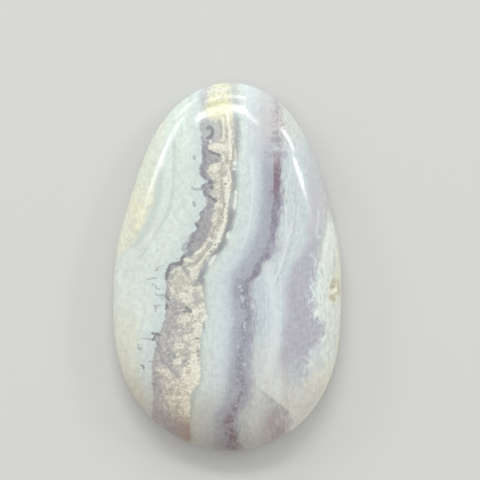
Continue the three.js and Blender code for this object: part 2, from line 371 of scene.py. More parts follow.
GREY_MARKS = (
    (0.19, ((-2.3, 0.3), (-2.5, -0.1), (-2.75, -0.6), (-2.9, -0.9))),
    (0.16, ((-4.75, 2.4), (-4.7, 1.9))),
    (0.13, ((-3.95, 2.3), (-4.1, 1.7), (-4.3, 1.4), (-4.7, 1.2))),
    (0.12, ((-3.25, -1.4), (-3.45, -1.95))), (0.14, ((-3.6, 11.95), (-3.6, 11.8))),
    (0.1, ((-3.85, 8.7), (-3.6, 8.45), (-3, 8.45))), (0.13, ((-3.7, 7), (-3.6, 6.7))),
    (0.13, ((-7.78, -0.25), (-7.65, -0.15))), (0.05, ((-7.65, -0.15), (-7.45, 0), (-7.2, 0.25))),
    (0.06, ((-8.75, -1.32), (-8.45, -1.36), (-8.2, -1.2), (-7.7, -1.2))),
    (0.05, ((-8.2, -1.75), (-7.9, -1.95), (-7.75, -2.25), (-7.4, -2.4))),
    (0.09, ((-7.75, -2.95), (-7.5, -3.1), (-7, -3.05), (-6.75, -3.15), (-6.6, -2.6))),
    (0.13, ((-7.2, -3.3), (-7, -3.5))), (0.09, ((-7.95, -4.15), (-7.75, -4.3), (-7.85, -4.75))),
    (0.07, ((-7.6, -4.2), (-7.3, -4.1))), (0.05, ((-9.3, -7.72), (-8.7, -7.78), (-8.1, -7.85))),
    (0.07, ((-9.75, -8.45), (-9.7, -8.85), (-9.45, -8.95), (-9.35, -8.7))),
    (0.09, ((-8.45, -10.25), (-8.2, -10.25))), (0.1, ((-2.6, -6.1), (-2.6, -6.6))),
    (0.09, ((-6.3, -13.3), (-6.1, -13.25))),
    (0.1, ((-4.15, 3), (-4, 3.45), (-3.7, 3.72), (-3.35, 3.7))),
    (0.1, ((-4.85, 2), (-4.65, 2.5), (-4.3, 2.7), (-4, 2.6))),
    (0.1, ((-4.6, 2), (-4.65, 1.55), (-4.5, 1.25), (-4, 1.1))),
    (0.08, ((-4.1, 2.1), (-3.95, 1.6), (-4.1, 1.3))),
    (0.1, ((-4.85, -0.25), (-4.6, 0.1), (-4.2, 0.25))),
    (0.12, ((-4.75, -0.15), (-4.65, -0.5), (-4.3, -0.7))),
    (0.11, ((-7.5, -9.1), (-7.2, -9.7), (-7.05, -10.15), (-6.6, -10.55))),
    (0.12, ((-6.4, -10.8), (-6, -11.2), (-5.7, -11.45), (-5.4, -11.85))),
    (0.13, ((-7.6, -8.3), (-7.4, -8.6), (-7.15, -8.8))), (0.14, ((-7.8, -8.85), (-7.6, -9.05))),
    (0.12, ((-5.85, -9.4), (-5.8, -9.85))), (0.1, ((-6.9, -9.3), (-6.5, -9.6), (-6.1, -9.25))),
    (0.13, ((-8, -11.4), (-7.7, -11.4))), (0.17, ((-7.85, -12.1), (-7.6, -12))),
    (0.13, ((-8, -12.75), (-7.7, -12.8))), (0.13, ((-7.3, -13.35), (-7.3, -13.7))),
    (0.14, ((-4.85, -10.3), (-4.55, -10.15))),
)
DARK_MARKS = (
    (0.16, ((-2.1, 15.1), (-1.9, 15.3), (-1.65, 15), (-1.6, 14.6), (-1.8, 14.2), (-2.2, 14.05))),
    (0.12, ((-1.9, 12.6), (-1.7, 12.42), (-1.2, 12.28), (-0.85, 12.2))),
    (0.22, ((-1.9, 9.3), (-1.8, 9.25))), (0.13, ((-1.75, 8.68), (-1.6, 8.62))),
    (0.1, ((-2, 7.7), (-1.55, 7.4), (-1.2, 7.15))), (0.12, ((-3.5, 4.7), (-3.2, 4.35))),
    (0.1, ((-6.45, -3.4), (-6.4, -3.6))), (0.12, ((-6.6, -4), (-6.5, -4.25), (-6.65, -4.5))),
    (0.07, ((-6.6, -0.2), (-6.4, -0.8))),
    (
        0.15,
        (
            (-4.7, 1.2), (-4.95, 0.95), (-4.95, 0.45), (-5.4, 0.36), (-5.95, 0.45), (-6.25, 0.15),
            (-6.5, -0.55), (-6.65, -1.1),
        ),
    ),
    (0.19, ((-4.4, -4.5), (-4.1, -4.75))), (0.1, ((-4.75, -4.82), (-4.4, -4.85))),
    (0.13, ((-8.15, -7.15), (-7.45, -7.3))),
    (0.12, ((-7.8, -7.25), (-7.95, -7.75), (-8.15, -7.9))),
    (0.09, ((-9.35, -10.65), (-9.15, -10.8), (-9.1, -10.95))),
)
OLIVE_TRACES = (
    (0.15, 0.9, ((15.9, -0.85), (15, -0.8), (14.6, -0.75), (14, -0.8))),
    (0.08, 0.8, ((14.9, 0.08), (14.5, 0.12), (14.1, 0.05))),
    (
        0.13, 0.8,
        (
            (13.4, 0.62), (12.4, 0.58), (11.6, 0.47), (10.8, 0.36), (9.8, 0.46), (8.8, 0.5),
            (8, 0.45), (7.2, 0.35), (6.5, 0.2), (5.5, 0.14), (4.8, 0.05), (4.2, -0.18),
            (3.5, -0.48), (2.9, -0.65),
        ),
    ),
    (0.09, 0.8, ((9, -0.55), (8, -0.52), (7.2, -0.4), (6.7, -0.32), (6.3, -0.5), (5.6, -0.6))),
    (0.12, 0.7, ((5.6, -0.9), (4.8, -1.05), (4.4, -1.35), (3.8, -1.6))),
    (0.06, 0.7, ((9.9, 1.06), (9, 1.1), (8.2, 1.12))),
    (0.06, 0.7, ((1, -1.2), (0.4, -1.6), (-0.1, -2))),
    (0.12, 0.6, ((15.8, 0.9), (14.8, 1.05), (13.2, 1.15), (12.2, 1.15))),
)
CREAM_TRACES = (
    (
        0.17, 0.9,
        (
            (17, -0.1), (16, 0.1), (15.4, 0.15), (15, 0.25), (14.3, 0.27), (13.8, 0.22), (13, 0.3),
            (12.4, 0.35), (11.6, 0.3),
        ),
    ),
    (0.1, 0.9, ((16.4, -0.4), (15.5, -0.45), (14.8, -0.45), (14, -0.4))),
    (0.12, 0.85, ((11, -0.05), (10.6, 0.1), (10.2, 0.2), (9.6, 0.27), (9.15, 0.32))),
    (
        0.3, 0.85,
        ((9.9, -0.3), (9.5, -0.2), (9.1, 0), (8.5, -0.05), (8, 0), (7.5, -0.05), (7, -0.05)),
    ),
    (0.13, 0.9, ((7.3, -0.03), (6.9, -0.06), (6.5, -0.12), (6.2, -0.15))),
    (
        0.19, 0.9,
        (
            (6.4, -0.1), (5.8, -0.25), (5.2, -0.3), (4.6, -0.45), (4.2, -0.6), (3.7, -0.82),
            (3.2, -0.98), (2.8, -1.15), (2.4, -1.45), (1.9, -1.85), (1.4, -2.25),
        ),
    ),
    (0.13, 0.75, ((1.7, -2), (1.4, -2.25), (0.9, -2.65), (0.4, -3.05), (0, -3.4), (-0.4, -3.6))),
    (0.1, 0.6, ((3.5, -2), (2.9, -2), (2.5, -2.3), (2.1, -2.55), (1.6, -3.05), (1.2, -3.6))),
    (0.12, 0.7, ((12.3, -0.5), (11.7, -0.4), (11.4, -0.6))),
    (0.1, 0.8, ((13.8, -1.85), (13.1, -2), (12.8, -1.75))),
    (0.1, 0.6, ((8, -1.85), (7.8, -1.6), (7.6, -1.25))),
    (0.09, 0.7, ((13, 0.9), (11.5, 0.92), (10.8, 0.85))),
)
# Along the bands of clear stone: grey traces on the left, fine dark and light ones on the right
CONTOURS = (
    (
        0.42, 0.55,
        (
            (10.8, -7.3), (9.5, -7.35), (8, -7.5), (6.8, -7.8), (5.5, -8.35), (4.5, -8.75),
            (3.9, -9), (3.3, -9.35), (2.8, -9.75), (2.2, -10.3),
        ),
    ),
    (
        0.19, 0.55,
        (
            (13.7, -5.75), (10, -5.85), (8, -6), (6.5, -6.3), (5.4, -6.7), (4.6, -7.2),
            (3.8, -7.8), (2.8, -8.3), (1.8, -8.95), (0.9, -9.6),
        ),
    ),
    (
        0.09, 0.6,
        (
            (9.5, 7.45), (8.3, 7.4), (4.7, 7.3), (3.1, 6.9), (1.5, 6.5), (0.15, 6.1), (-1.2, 5.5),
            (-2.4, 4.9),
        ),
    ),
    (0.25, 0.8, ((4.9, 10.6), (4, 10.6), (3.3, 10.4), (2.4, 10.15), (1.4, 10.15), (0.6, 9.9))),
    (0.08, 0.6, ((2, 11.55), (0, 11.6), (-2, 11.4), (-4, 11.5))),
)
PALE_STREAKS = (
    (0.5, 0.5, ((0.6, 4.2), (-1, 4.6), (-4, 5.1), (-7, 5.15), (-10, 4.7), (-12, 4.3))),
    (0.1, 0.5, ((0.2, 5.6), (-3, 5.75), (-7, 5.7), (-9, 5.5))),
    (0.07, 0.5, ((-1, 4.4), (-4, 4.2), (-8, 4.3))),
    (0.08, 0.5, ((11, 7), (8, 6.3), (4, 6.4), (1.5, 5.9))),
    (0.12, 0.45, ((12, 2.6), (8, 2.7), (4, 2.2), (2, 1.5))),
    (0.16, 0.6, ((5, 7.05), (3.1, 6.6), (1.5, 6.2), (0.15, 5.8), (-1.2, 5.2), (-2.4, 4.6))),
    (0.1, 0.5, ((6.3, 9.85), (5, 9.85), (4.2, 9.7), (3.4, 9.5))),
    (0.12, 0.5, ((1.4, 9.1), (0.9, 9.4), (0.5, 9.8))),
    (0.15, 0.4, ((-14.6, 3.9), (-13.8, 3.3), (-12.8, 2.8))),
    (0.1, 0.4, ((7, 7.1), (6, 7.25), (5.2, 7.2))),
    (0.09, 0.5, ((-16.8, 2.35), (-17.6, 2.6), (-18.4, 2.75))),
    (0.3, 0.4, ((4.4, -7.9), (3.4, -8.2), (2.2, -8.6))),
)
FLARE = (
    (0.3, 0.8, ((4.6, 11.05), (3.5, 10.9), (2.6, 10.7), (1.6, 10.5), (0.6, 10.3), (-0.4, 9.9))),
    (0.09, 0.8, ((3.9, 11.45), (1.5, 11.4), (0.2, 11.35))),
    (0.07, 0.7, ((2.6, 11.2), (1, 11.15), (-0.4, 11))),
    (0.08, 0.6, ((1, 9.6), (-0.6, 9.5), (-1.6, 9.9), (-2.6, 10.2))),
)
# A painted highlight: soft light patches low on the left edge, standing in for a reflection there
PAINTED_LEFT_GLINT = ((-10.5, -6.3, 1.3, 0.7), (-10.6, -7.4, 1.1, 2.6))
# Round the natural pit
PIT_GLOW = ((11.75, -2.3, 1.1, 2.6, -10), (11.9, -1.2, 0.6, 1.6))
RUSTY_CRUMBS = (
    (12.05, -2.2, 0.25, 1.3, 5), (11.4, -2.1, 0.5, 0.35, 20), (11.4, -3.3, 0.5, 0.6, 20),
    (11.75, -2.85, 0.3, 0.25), (11.65, -1.65, 0.25, 0.3),
)
# Dark dots of painted shade where tiny holes would be, with no hollow in the skin
PIN_HOLES = (
    (-0.22, 9.08, 0.24, 0.22), (-0.45, 5.45, 0.16, 0.2), (-1.35, 2.45, 0.2, 0.28),
    (-1.8, 1.72, 0.3, 0.22), (-3.22, -7.7, 0.25, 0.25), (-3.2, -9.15, 0.22, 0.18),
    (-3.15, -9.6, 0.2, 0.25), (-3.15, -10.05, 0.25, 0.15),
)
MAUVE_PATCHES = (
    (4.7, 14.2, 2.6, 4.5, 10), (9.6, 6.5, 1.4, 5, -8), (4.4, -10.8, 2, 2.6),
    (9.9, -10.3, 0.8, 1.4), (9.8, -8.6, 0.8, 1),
)
PURPLE_CRUMBS = (
    (5.5, 13.6, 2, 1.6), (5.6, 15.6, 1.5, 1.3), (5.4, 16.9, 1.2, 1), (4.8, 8.1, 0.6, 1.2),
    (4.6, 12.4, 1.2, 0.7), (5.9, 7.6, 0.8, 2.4),
)


def new_material(name):
    """A material without any nodes yet."""
    material = bpy.data.materials.new(name)
    material.use_nodes = True
    material.node_tree.nodes.clear()
    return material


# How far one draw of random values lies from the next, across, along and down
NEXT_DRAW = (1, 1.7, 2.3)


class Wiring:
    """Adds and joins the nodes of one material or of one group of nodes."""

    def __init__(self, tree):
        self.tree = tree

    def add(self, kind, **settings):
        """A new node with these settings."""
        made = self.tree.nodes.new(kind)
        for name, value in settings.items():
            setattr(made, name, value)
        return made

    def feed(self, socket, value):
        """Gives a socket a value, or joins it to another node's output."""
        if isinstance(value, bpy.types.NodeSocket):
            self.tree.links.new(value, socket)
        elif socket.type == "RGBA" and len(value) == 3:
            socket.default_value = (*value, 1)
        else:
            socket.default_value = value

    def fill(self, sockets, values):
        """Gives each of several sockets its value."""
        for socket, value in zip(sockets, values):
            self.feed(socket, value)

    def surface(self, shader):
        """Ends a material with its shader."""
        output = self.add("ShaderNodeOutputMaterial")
        self.feed(output.inputs["Surface"], shader.outputs[0])

    def math(self, operation, *values):
        """The result of a Math node."""
        made = self.add("ShaderNodeMath", operation=operation)
        self.fill(made.inputs, values)
        return made.outputs[0]

    def vector(self, operation, *values, scale=None):
        """The vector result of a Vector Math node."""
        made = self.add("ShaderNodeVectorMath", operation=operation)
        self.fill(made.inputs, values)
        if scale is not None:
            self.feed(made.inputs["Scale"], scale)
        return made.outputs["Vector"]

    def dot(self, place, direction):
        """The dot product of two vectors."""
        made = self.add("ShaderNodeVectorMath", operation="DOT_PRODUCT")
        self.fill(made.inputs, (place, direction))
        return made.outputs["Value"]

    def join(self, x, y, z):
        """A vector from three values."""
        made = self.add("ShaderNodeCombineXYZ")
        self.fill(made.inputs, (x, y, z))
        return made.outputs[0]

    def grey(self, value):
        """A grey from one value."""
        made = self.add("ShaderNodeCombineColor")
        self.fill(made.inputs, (value, value, value))
        return made.outputs[0]

    def rise(self, value, start, end, low=0.0, high=1.0):
        """A smooth step of a value, from low at start to high at end."""
        made = self.add("ShaderNodeMapRange", interpolation_type="SMOOTHSTEP", clamp=False)
        names = ("Value", "From Min", "From Max", "To Min", "To Max")
        self.fill((made.inputs[name] for name in names), (value, start, end, low, high))
        return made.outputs[0]

    def share(self, value, start, end):
        """How far a value is from start to end, where 0 is the start and 1 is the end."""
        made = self.add("ShaderNodeMapRange", clamp=False)
        names = ("Value", "From Min", "From Max")
        self.fill((made.inputs[name] for name in names), (value, start, end))
        return made.outputs[0]

    def mix(self, share, below, above, blend="MIX"):
        """Two colours mixed by a share."""
        made = self.add("ShaderNodeMix", data_type="RGBA", blend_type=blend)
        # A Mix node has these sockets for colours
        self.fill((made.inputs[i] for i in (0, 6, 7)), (share, below, above))
        return made.outputs[2]

    def times(self, colour, factor):
        """A colour multiplied by another one."""
        return self.mix(1.0, colour, factor, "MULTIPLY")

    def lit(self, colour, light):
        """A colour made darker or lighter by a value, which is 1 for no change."""
        return self.times(colour, self.grey(light))

    def lay(self, mask, strength, below, above):
        """A colour laid over another where a mask is, and only as strongly as given."""
        return self.mix(self.math("MULTIPLY", mask, strength), below, above)

    def ramp(self, value, *stops):
        """A colour for each value, from stops of position and colour."""
        made = self.add("ShaderNodeValToRGB")
        elements = made.color_ramp.elements
        while len(elements) < len(stops):
            elements.new(0.5)
        for element, (position, colour) in zip(elements, stops):
            element.position = position
            element.color = (*colour, 1)
        self.feed(made.inputs[0], value)
        return made.outputs[0]

    def noise(self, place, scale, detail=2.0, roughness=0.5, distortion=0.0, shift=0):
        """Smooth random values between 0 and 1, with so many lumps to the millimetre. A shift
        gives another draw of them."""
        made = self.add("ShaderNodeTexNoise", noise_dimensions="3D")
        if shift:
            place = self.vector("ADD", place, tuple(shift * step for step in NEXT_DRAW))
        names = ("Vector", "Scale", "Detail", "Roughness", "Distortion")
        values = (place, scale, detail, roughness, distortion)
        self.fill((made.inputs[name] for name in names), values)
        return made.outputs[0]

    def curve(self, value, points, span):
        """A value that follows given points, each the input and the result, where the results
        stay in a span."""
        points = sorted(points)
        low, high = points[0][0], points[-1][0]
        made = self.add("ShaderNodeFloatCurve")
        made.mapping.extend = "HORIZONTAL"
        curve = made.mapping.curves[0]
        while len(curve.points) < len(points):
            curve.points.new(0.5, 0.5)
        for point, (at, result) in zip(curve.points, points):
            point.location = (
                (at - low) / (high - low),
                (result - span[0]) / (span[1] - span[0]),
            )
        made.mapping.update()
        self.feed(made.inputs["Value"], self.share(value, low, high))
        return self.math("MULTIPLY_ADD", made.outputs[0], span[1] - span[0], span[0])

    def wobble(self, value, random, amount):
        """A value pushed to and fro by a random one."""
        return self.math("MULTIPLY_ADD", self.math("SUBTRACT", random, 0.5), amount, value)

    def blend(self, share, below, above):
        """Two values mixed by a share."""
        return self.math("MULTIPLY_ADD", self.math("SUBTRACT", above, below), share, below)

    def fold(self, operation, values):
        """Values brought together one after the other, such as into their largest."""
        whole = None
        for value in values:
            whole = value if whole is None else self.math(operation, whole, value)
        return whole

    def product(self, *masks):
        """Masks multiplied together."""
        return self.fold("MULTIPLY", masks)


# The reach across that the band lines are drawn in, in millimetres
ACROSS = (-14, 14)
# How far to each side of its end a trace fades out
TRACE_FADE = 0.25


class Drawing:
    """Draws bands and marks at a place across and along the stone, in millimetres."""

    def __init__(self, wiring, across, along):
        self.w = wiring
        self.across = across
        self.along = along
        self.here = wiring.join(across, along, 1)

    def line(self, points):
        """Where a band line runs at this place along the stone."""
        return self.w.curve(self.along, points, ACROSS)

    def past(self, line, across=None):
        """How far this place is to the right of a band line."""
        return self.w.math("SUBTRACT", across or self.across, line)

    def strength(self, points):
        """A share that changes along the stone."""
        return self.w.curve(self.along, points, (0, 1))

    def trace(self, soft, half_width, strength, points):
        """A thin line along the bands, as a mask."""
        w = self.w
        aside = w.math("ABSOLUTE", self.past(self.line(points)))
        top, bottom = points[0][0], points[-1][0]
        return w.product(
            w.rise(aside, half_width * (1 + soft), half_width * (1 - soft), 0, strength),
            w.rise(self.along, top + TRACE_FADE, top - TRACE_FADE),
            w.rise(self.along, bottom - TRACE_FADE, bottom + TRACE_FADE),
        )

    def oval(self, soft, across, along, width, height, turn=0):
        """An oval mark, as a mask."""
        w = self.w
        c, s = math.cos(math.radians(turn)), math.sin(math.radians(turn))
        # Each axis of the oval, with the part that takes its middle away at the end
        ways = ((c, s, width / 2), (-s, c, height / 2))
        aside, ahead = (
            w.dot(self.here, (u / r, v / r, -(across * u + along * v) / r)) for u, v, r in ways
        )
        squared = w.math("MULTIPLY_ADD", ahead, ahead, w.math("MULTIPLY", aside, aside))
        return w.rise(squared, (1 + soft) ** 2, (1 - soft) ** 2)

    def stroke(self, soft, half_width, points):
        """A line with round ends through given points, as a mask."""
        w = self.w
        squared = w.fold("MINIMUM", (self.piece(*pair) for pair in zip(points, points[1:])))
        outer, inner = half_width * (1 + soft), half_width * (1 - soft)
        return w.rise(squared, outer * outer, inner * inner)

    def piece(self, start, end):
        """The squared distance to a straight piece of a line."""
        w = self.w
        u, v = end[0] - start[0], end[1] - start[1]
        length = math.hypot(u, v)
        u, v = u / length, v / length
        middle = ((start[0] + end[0]) / 2, (start[1] + end[1]) / 2)
        ahead = w.dot(self.here, (u, v, -(middle[0] * u + middle[1] * v)))
        aside = w.dot(self.here, (-v, u, middle[0] * v - middle[1] * u))
        beyond = w.math("SUBTRACT", w.math("ABSOLUTE", ahead), length / 2)
        beyond = w.math("MAXIMUM", beyond, 0)
        return w.math("MULTIPLY_ADD", beyond, beyond, w.math("MULTIPLY", aside, aside))

    def grouped(self, name, kind, marks, soft):
        """Traces, ovals or strokes in a node group of their own, as one mask."""
        tree = bpy.data.node_groups.new(name, "ShaderNodeTree")
        for label in ("Across", "Along"):
            tree.interface.new_socket(label, in_out="INPUT", socket_type="NodeSocketFloat")
        tree.interface.new_socket("Mask", in_out="OUTPUT", socket_type="NodeSocketFloat")
        inner = Wiring(tree)
        entry = inner.add("NodeGroupInput")
        drawing = Drawing(inner, entry.outputs[0], entry.outputs[1])
        draw = getattr(drawing, kind)
        mask = inner.fold("MAXIMUM", (draw(soft, *mark) for mark in marks))
        inner.feed(inner.add("NodeGroupOutput").inputs[0], mask)
        made = self.w.add("ShaderNodeGroup", node_tree=tree)
        self.w.feed(made.inputs[0], self.across)
        self.w.feed(made.inputs[1], self.along)
        return made.outputs[0]

    def traces(self, name, marks, soft=0.35):
        """Thin lines along the bands, as a mask."""
        return self.grouped(name, "trace", marks, soft)

    def ovals(self, name, marks, soft=0.45):
        """Oval marks, as a mask."""
        return self.grouped(name, "oval", marks, soft)

    def strokes(self, name, marks, soft=0.35):
        """Lines through given points, as a mask."""
        return self.grouped(name, "stroke", marks, soft)


# How many streaks there are to the millimetre across, along and down, so that they run with the
# bands
STREAKS = (4.5, 1.1, 2.0)
# How far the bands lean aside for each millimetre down through the stone
BAND_LEAN = 0.5


class BandPattern(Drawing):
    """Where a point of the stone is in its banding, from Object coordinates in millimetres."""

    def __init__(self, wiring):
        w = wiring
        coordinates = w.add("ShaderNodeTexCoord").outputs["Object"]
        self.place = w.vector("SCALE", coordinates, scale=1 / MM)
        parts = w.add("ShaderNodeSeparateXYZ")
        w.feed(parts.inputs[0], self.place)
        x, y, self.z = parts.outputs
        # The lines were read off from above, where a higher place looks farther from the middle
        above = w.math("SUBTRACT", self.z, GIRDLE_TOP)
        nearer = w.math("MULTIPLY_ADD", above, 1 / VIEW_HEIGHT, 1)
        self.x, self.y = (
            w.math("MULTIPLY_ADD", w.math("SUBTRACT", at, middle), nearer, middle - slip)
            for at, middle, slip in zip((x, y), VIEW_MIDDLE, READING_SLIP)
        )
        # Streaks that run with the bands, and grains of no direction
        streak_place = w.vector("MULTIPLY", self.place, STREAKS)
        self.streaks = w.noise(streak_place, 1.0, 4, 0.6)
        self.lumps = w.noise(self.place, 2.0, 5, 0.6, 0.3, shift=17)
        self.grains = w.noise(self.place, 4.2, 3, 0.6, shift=7)
        self.grit = w.noise(self.place, 7.5, 3, 0.65, shift=11)
        self.cloud = w.noise(self.place, 0.55, 4, 0.55, shift=3)
        self.mottle = w.blend(0.5, self.lumps, self.grains)
        ripple = w.noise(self.place, 1.7, 3, 0.55)
        drift = w.noise(self.place, 1.5, 3, 0.55, shift=31)
        jagged = w.noise(self.place, 3.0, 3, 0.6, shift=5)
        # The bands lean below the girdle's top, so the back isn't the front's copy
        below_girdle = w.math("MINIMUM", above, 0)
        straight = w.math("MULTIPLY_ADD", below_girdle, BAND_LEAN, self.x)
        across = w.wobble(straight, ripple, 0.35)
        along = w.wobble(self.y, drift, 0.35)
        super().__init__(w, across, along)
        self.rough_across = w.wobble(across, jagged, 0.5)
        self.frosted_across = w.wobble(across, self.streaks, 1.3)

    def crumbled(self, mask, amount):
        """A mask whose soft edge is broken up into crumbs."""
        return self.w.rise(self.w.wobble(mask, self.grains, amount), 0.25, 0.75)


# A millimetre along the stone counts only this much in the growth lines, so that they are long
LINES_ALONG = 0.12
# The short ripples in the crystals, to the millimetre across, along and down
RIPPLES = (1.9, 6.0, 3.0)
# The grey wedge's straight edge: how steeply it falls towards the right, and how far towards the
# wide end it crosses the middle
WEDGE_SLOPE = 0.77
WEDGE_CROSSING = 10.44
UNCHANGED = (1, 1, 1)

# The zones below are given the band pattern p, whose wiring is w, and the stone's colours c.
# Each one draws itself over the zones before it.


def left_zone(p, c, past_break):
    """Pale stone at the left, with a cream patch at the edge and grey contours round it."""
    w = p.w
    upper = w.product(w.rise(p.along, 4, 12), w.rise(p.across, -9, -6))
    zone = w.mix(w.rise(p.cloud, 0.35, 0.65), tone(c.pale, 0.985), tone(c.pale, 1.01))
    zone = w.mix(upper, zone, tone(c.pale, 0.985, 1.005, 0.985))
    across = w.math("MULTIPLY", past_break, 1.4)
    lines = w.join(across, w.math("MULTIPLY", p.along, LINES_ALONG), 9)
    growth = w.rise(w.noise(lines, 1.0, 2, 0.5), 0.3, 0.7, 0.955, 1.03)
    growth = w.math("MULTIPLY", growth, w.curve(p.along, LEFT_LIGHT, (0.9, 1.2)))
    zone = w.lit(zone, growth)
    past_cream = p.past(p.line(CREAM_PATCH_END), p.frosted_across)
    cream = w.ramp(
        w.blend(0.45, p.lumps, p.cloud),
        *tones(
            c.patch_cream,
            (0.36, 0.84, 0.87, 0.95),
            (0.45, 0.92, 0.94, 0.99),
            (0.53, 0.99, 1.0, 0.97),
            (0.64, 1.07, 1.08, 1.02),
        ),
    )
    paler = w.math("MAXIMUM", w.rise(p.along, 4.5, 11, 0, 0.8), w.rise(p.x, -9.8, -11.2, 0, 0.5))
    cream = w.mix(paler, cream, tone(c.pale, 1.04, 1.01, 0.95))
    zone = w.mix(w.rise(past_cream, 0.75, -0.5, 0, 0.9), zone, cream)
    # Painted highlight: a soft light patch low on the left edge stands in for a reflection
    glow = w.wobble(p.ovals("painted left glint", PAINTED_LEFT_GLINT, 0.7), p.lumps, 1)
    zone = w.lay(glow, 0.6, zone, tone(c.pale, 1.12, 1.08, 1.0))
    # Below the patch the edge only turns creamy, and lower down more of it does
    low = w.product(w.rise(p.along, 1.5, -9), w.rise(p.x, -8.6, -11.2, 0, 0.6))
    zone = w.mix(low, zone, tone(c.edge_cream, 1.11, 1.06, 1.01))
    lowest = w.product(w.rise(p.along, -10, -16), w.rise(p.x, -4, -7))
    zone = w.mix(lowest, zone, tone(c.edge_cream, 0.96, 0.9, 0.86))
    near_break = w.rise(past_break, -2.0, -0.2, 0, 0.55)
    return w.mix(near_break, zone, tone(c.light_blue, 0.98, 0.985, 0.99))


def smoky_zone(p, c, past_break):
    """Grey, half-clear stone behind the jagged break."""
    w = p.w
    high = w.ramp(
        p.mottle,
        *tones(
            c.smoke,
            (0.36, 0.74, 0.78, 0.8),
            (0.46, 0.93, 0.95, 0.95),
            (0.54, 1.06, 1.06, 1.03),
            (0.64, 1.26, 1.25, 1.15),
        ),
    )
    low = w.ramp(
        p.mottle,
        (0.36, tone(c.smoke, 0.9, 0.89, 0.84)),
        (0.46, tone(c.smoke, 1.03, 1.01, 0.96)),
        (0.54, between(c.smoke, c.beige, 0.5)),
        (0.64, tone(c.beige, 1.03)),
    )
    warm = w.product(
        w.rise(w.wobble(past_break, p.lumps, 1.5), 0.4, 1.7), w.rise(p.along, 7, 5, 0.35, 0.75)
    )
    deep = w.rise(p.along, 5, 3.5)
    warm_smoke = w.mix(deep, tone(c.smoke, 1.08, 1.06, 0.97), tone(c.smoke, 0.97, 0.94, 0.9))
    high = w.mix(warm, high, warm_smoke)
    zone = w.mix(w.rise(p.along, -2, -5), high, low)
    zone = w.lit(zone, w.curve(p.along, SMOKE_LIGHT, (0.8, 1.4)))
    zone = w.mix(w.rise(p.along, 13.4, 14.4, 0, 0.45), zone, tone(c.pale, 0.76))
    mauve = w.product(w.rise(p.along, -9.5, -11), w.rise(p.grains, 0.42, 0.58, 0, 0.6))
    return w.mix(mauve, zone, tone(c.smoke, 0.99, 0.92, 0.93))


def druzy_zone(p, c, past_end):
    """Fine crystals of cream, beige and grey."""
    w = p.w
    zone = w.ramp(
        p.mottle,
        (0.34, tone(c.beige, 0.74, 0.75, 0.76)),
        (0.45, tone(c.beige, 0.92)),
        (0.53, tone(c.beige, 1.02)),
        (0.62, between(c.beige, c.cream, 0.7)),
        (0.72, tone(c.cream, 1.04)),
    )
    yellow = w.product(w.rise(p.y, 14.5, 17), w.rise(p.lumps, 0.3, 0.55, 0.3, 0.8))
    palest = w.rise(w.wobble(p.y, p.lumps, 2), 18.2, 19.2)
    top = w.mix(palest, tone(c.cream, 0.84, 0.87, 0.66), tone(c.cream, 0.95, 0.98, 0.86))
    yellowest = w.product(
        w.rise(p.y, 16.5, 17.0), w.rise(p.y, 18.4, 17.8, 0, 0.75), w.rise(p.x, 0.1, -0.5)
    )
    top = w.mix(yellowest, top, tone(c.cream, 0.78, 0.8, 0.51))
    zone = w.mix(w.math("MAXIMUM", yellow, yellowest), zone, top)
    margin = w.product(w.rise(past_end, -1.2, -0.3, 0, 0.7), w.rise(p.along, -1, -3))
    zone = w.mix(w.product(margin, w.rise(p.lumps, 0.35, 0.5)), zone, tone(c.cream, 0.98))
    for name, kind, marks, soft, strength, colour in (
        ("grey patches", "oval", GREY_PATCHES, 0.7, 0.7, tone(c.smoke, 1.0, 1.0, 0.95)),
        ("cream patches", "oval", CREAM_PATCHES, 0.7, 0.65, tone(c.cream, 0.96, 0.96, 0.98)),
        ("olive patches", "oval", OLIVE_PATCHES, 0.7, 0.6, tone(c.beige, 0.78)),
        ("olive traces", "trace", OLIVE_TRACES, 0.5, 0.9, tone(c.beige, 0.74, 0.75, 0.74)),
        ("cream traces", "trace", CREAM_TRACES, 0.5, 0.9, tone(c.cream, 1.0, 1.0, 1.03)),
    ):
        mask = p.grouped(name, kind, marks, soft)
        mask = p.crumbled(w.wobble(mask, p.lumps, 1.6 if kind == "oval" else 0), 0.9)
        zone = w.lay(mask, strength, zone, colour)
    # Crystals that catch the light or shade each other
    zone = w.lit(zone, w.rise(p.grit, 0.32, 0.68, 0.86, 1.1))
    coarser = w.rise(p.along, -3, -6)
    calm = w.rise(p.along, -2.5, -4, 0.6, 1)
    dark = w.rise(w.math("MULTIPLY_ADD", coarser, -0.03, p.grains), 0.42, 0.26, 0, 0.6)
    zone = w.lay(dark, calm, zone, tone(c.beige, 0.7))
    bright = w.rise(w.math("MULTIPLY_ADD", coarser, 0.03, p.grains), 0.58, 0.7, 0, 0.75)
    zone = w.lay(bright, calm, zone, tone(c.cream, 1.06))
    # Short ripples across the crystals near their wide end
    ripples = w.noise(w.vector("MULTIPLY", p.place, RIPPLES), 1.0, 2, 0.5)
    ripples = w.product(
        w.rise(ripples, 0.52, 0.6), w.rise(p.along, -11, -12.5), w.rise(p.along, -16, -14.5)
    )
    zone = w.lay(ripples, 0.5, zone, tone(c.beige, 0.72, 0.7, 0.68))
    lit = w.product(
        w.rise(p.along, 2, -8, 1.03, 1.08),
        w.rise(p.along, -8, -12, 1, 1.09),
        w.rise(p.along, -14, -17, 1, 0.88),
    )
    zone = w.lit(zone, lit)
    # The widest end of the crystals is browner
    return w.mix(w.rise(p.along, -15.5, -17.5, 0, 0.75), zone, tone(c.smoke, 1.07, 0.8, 0.63))


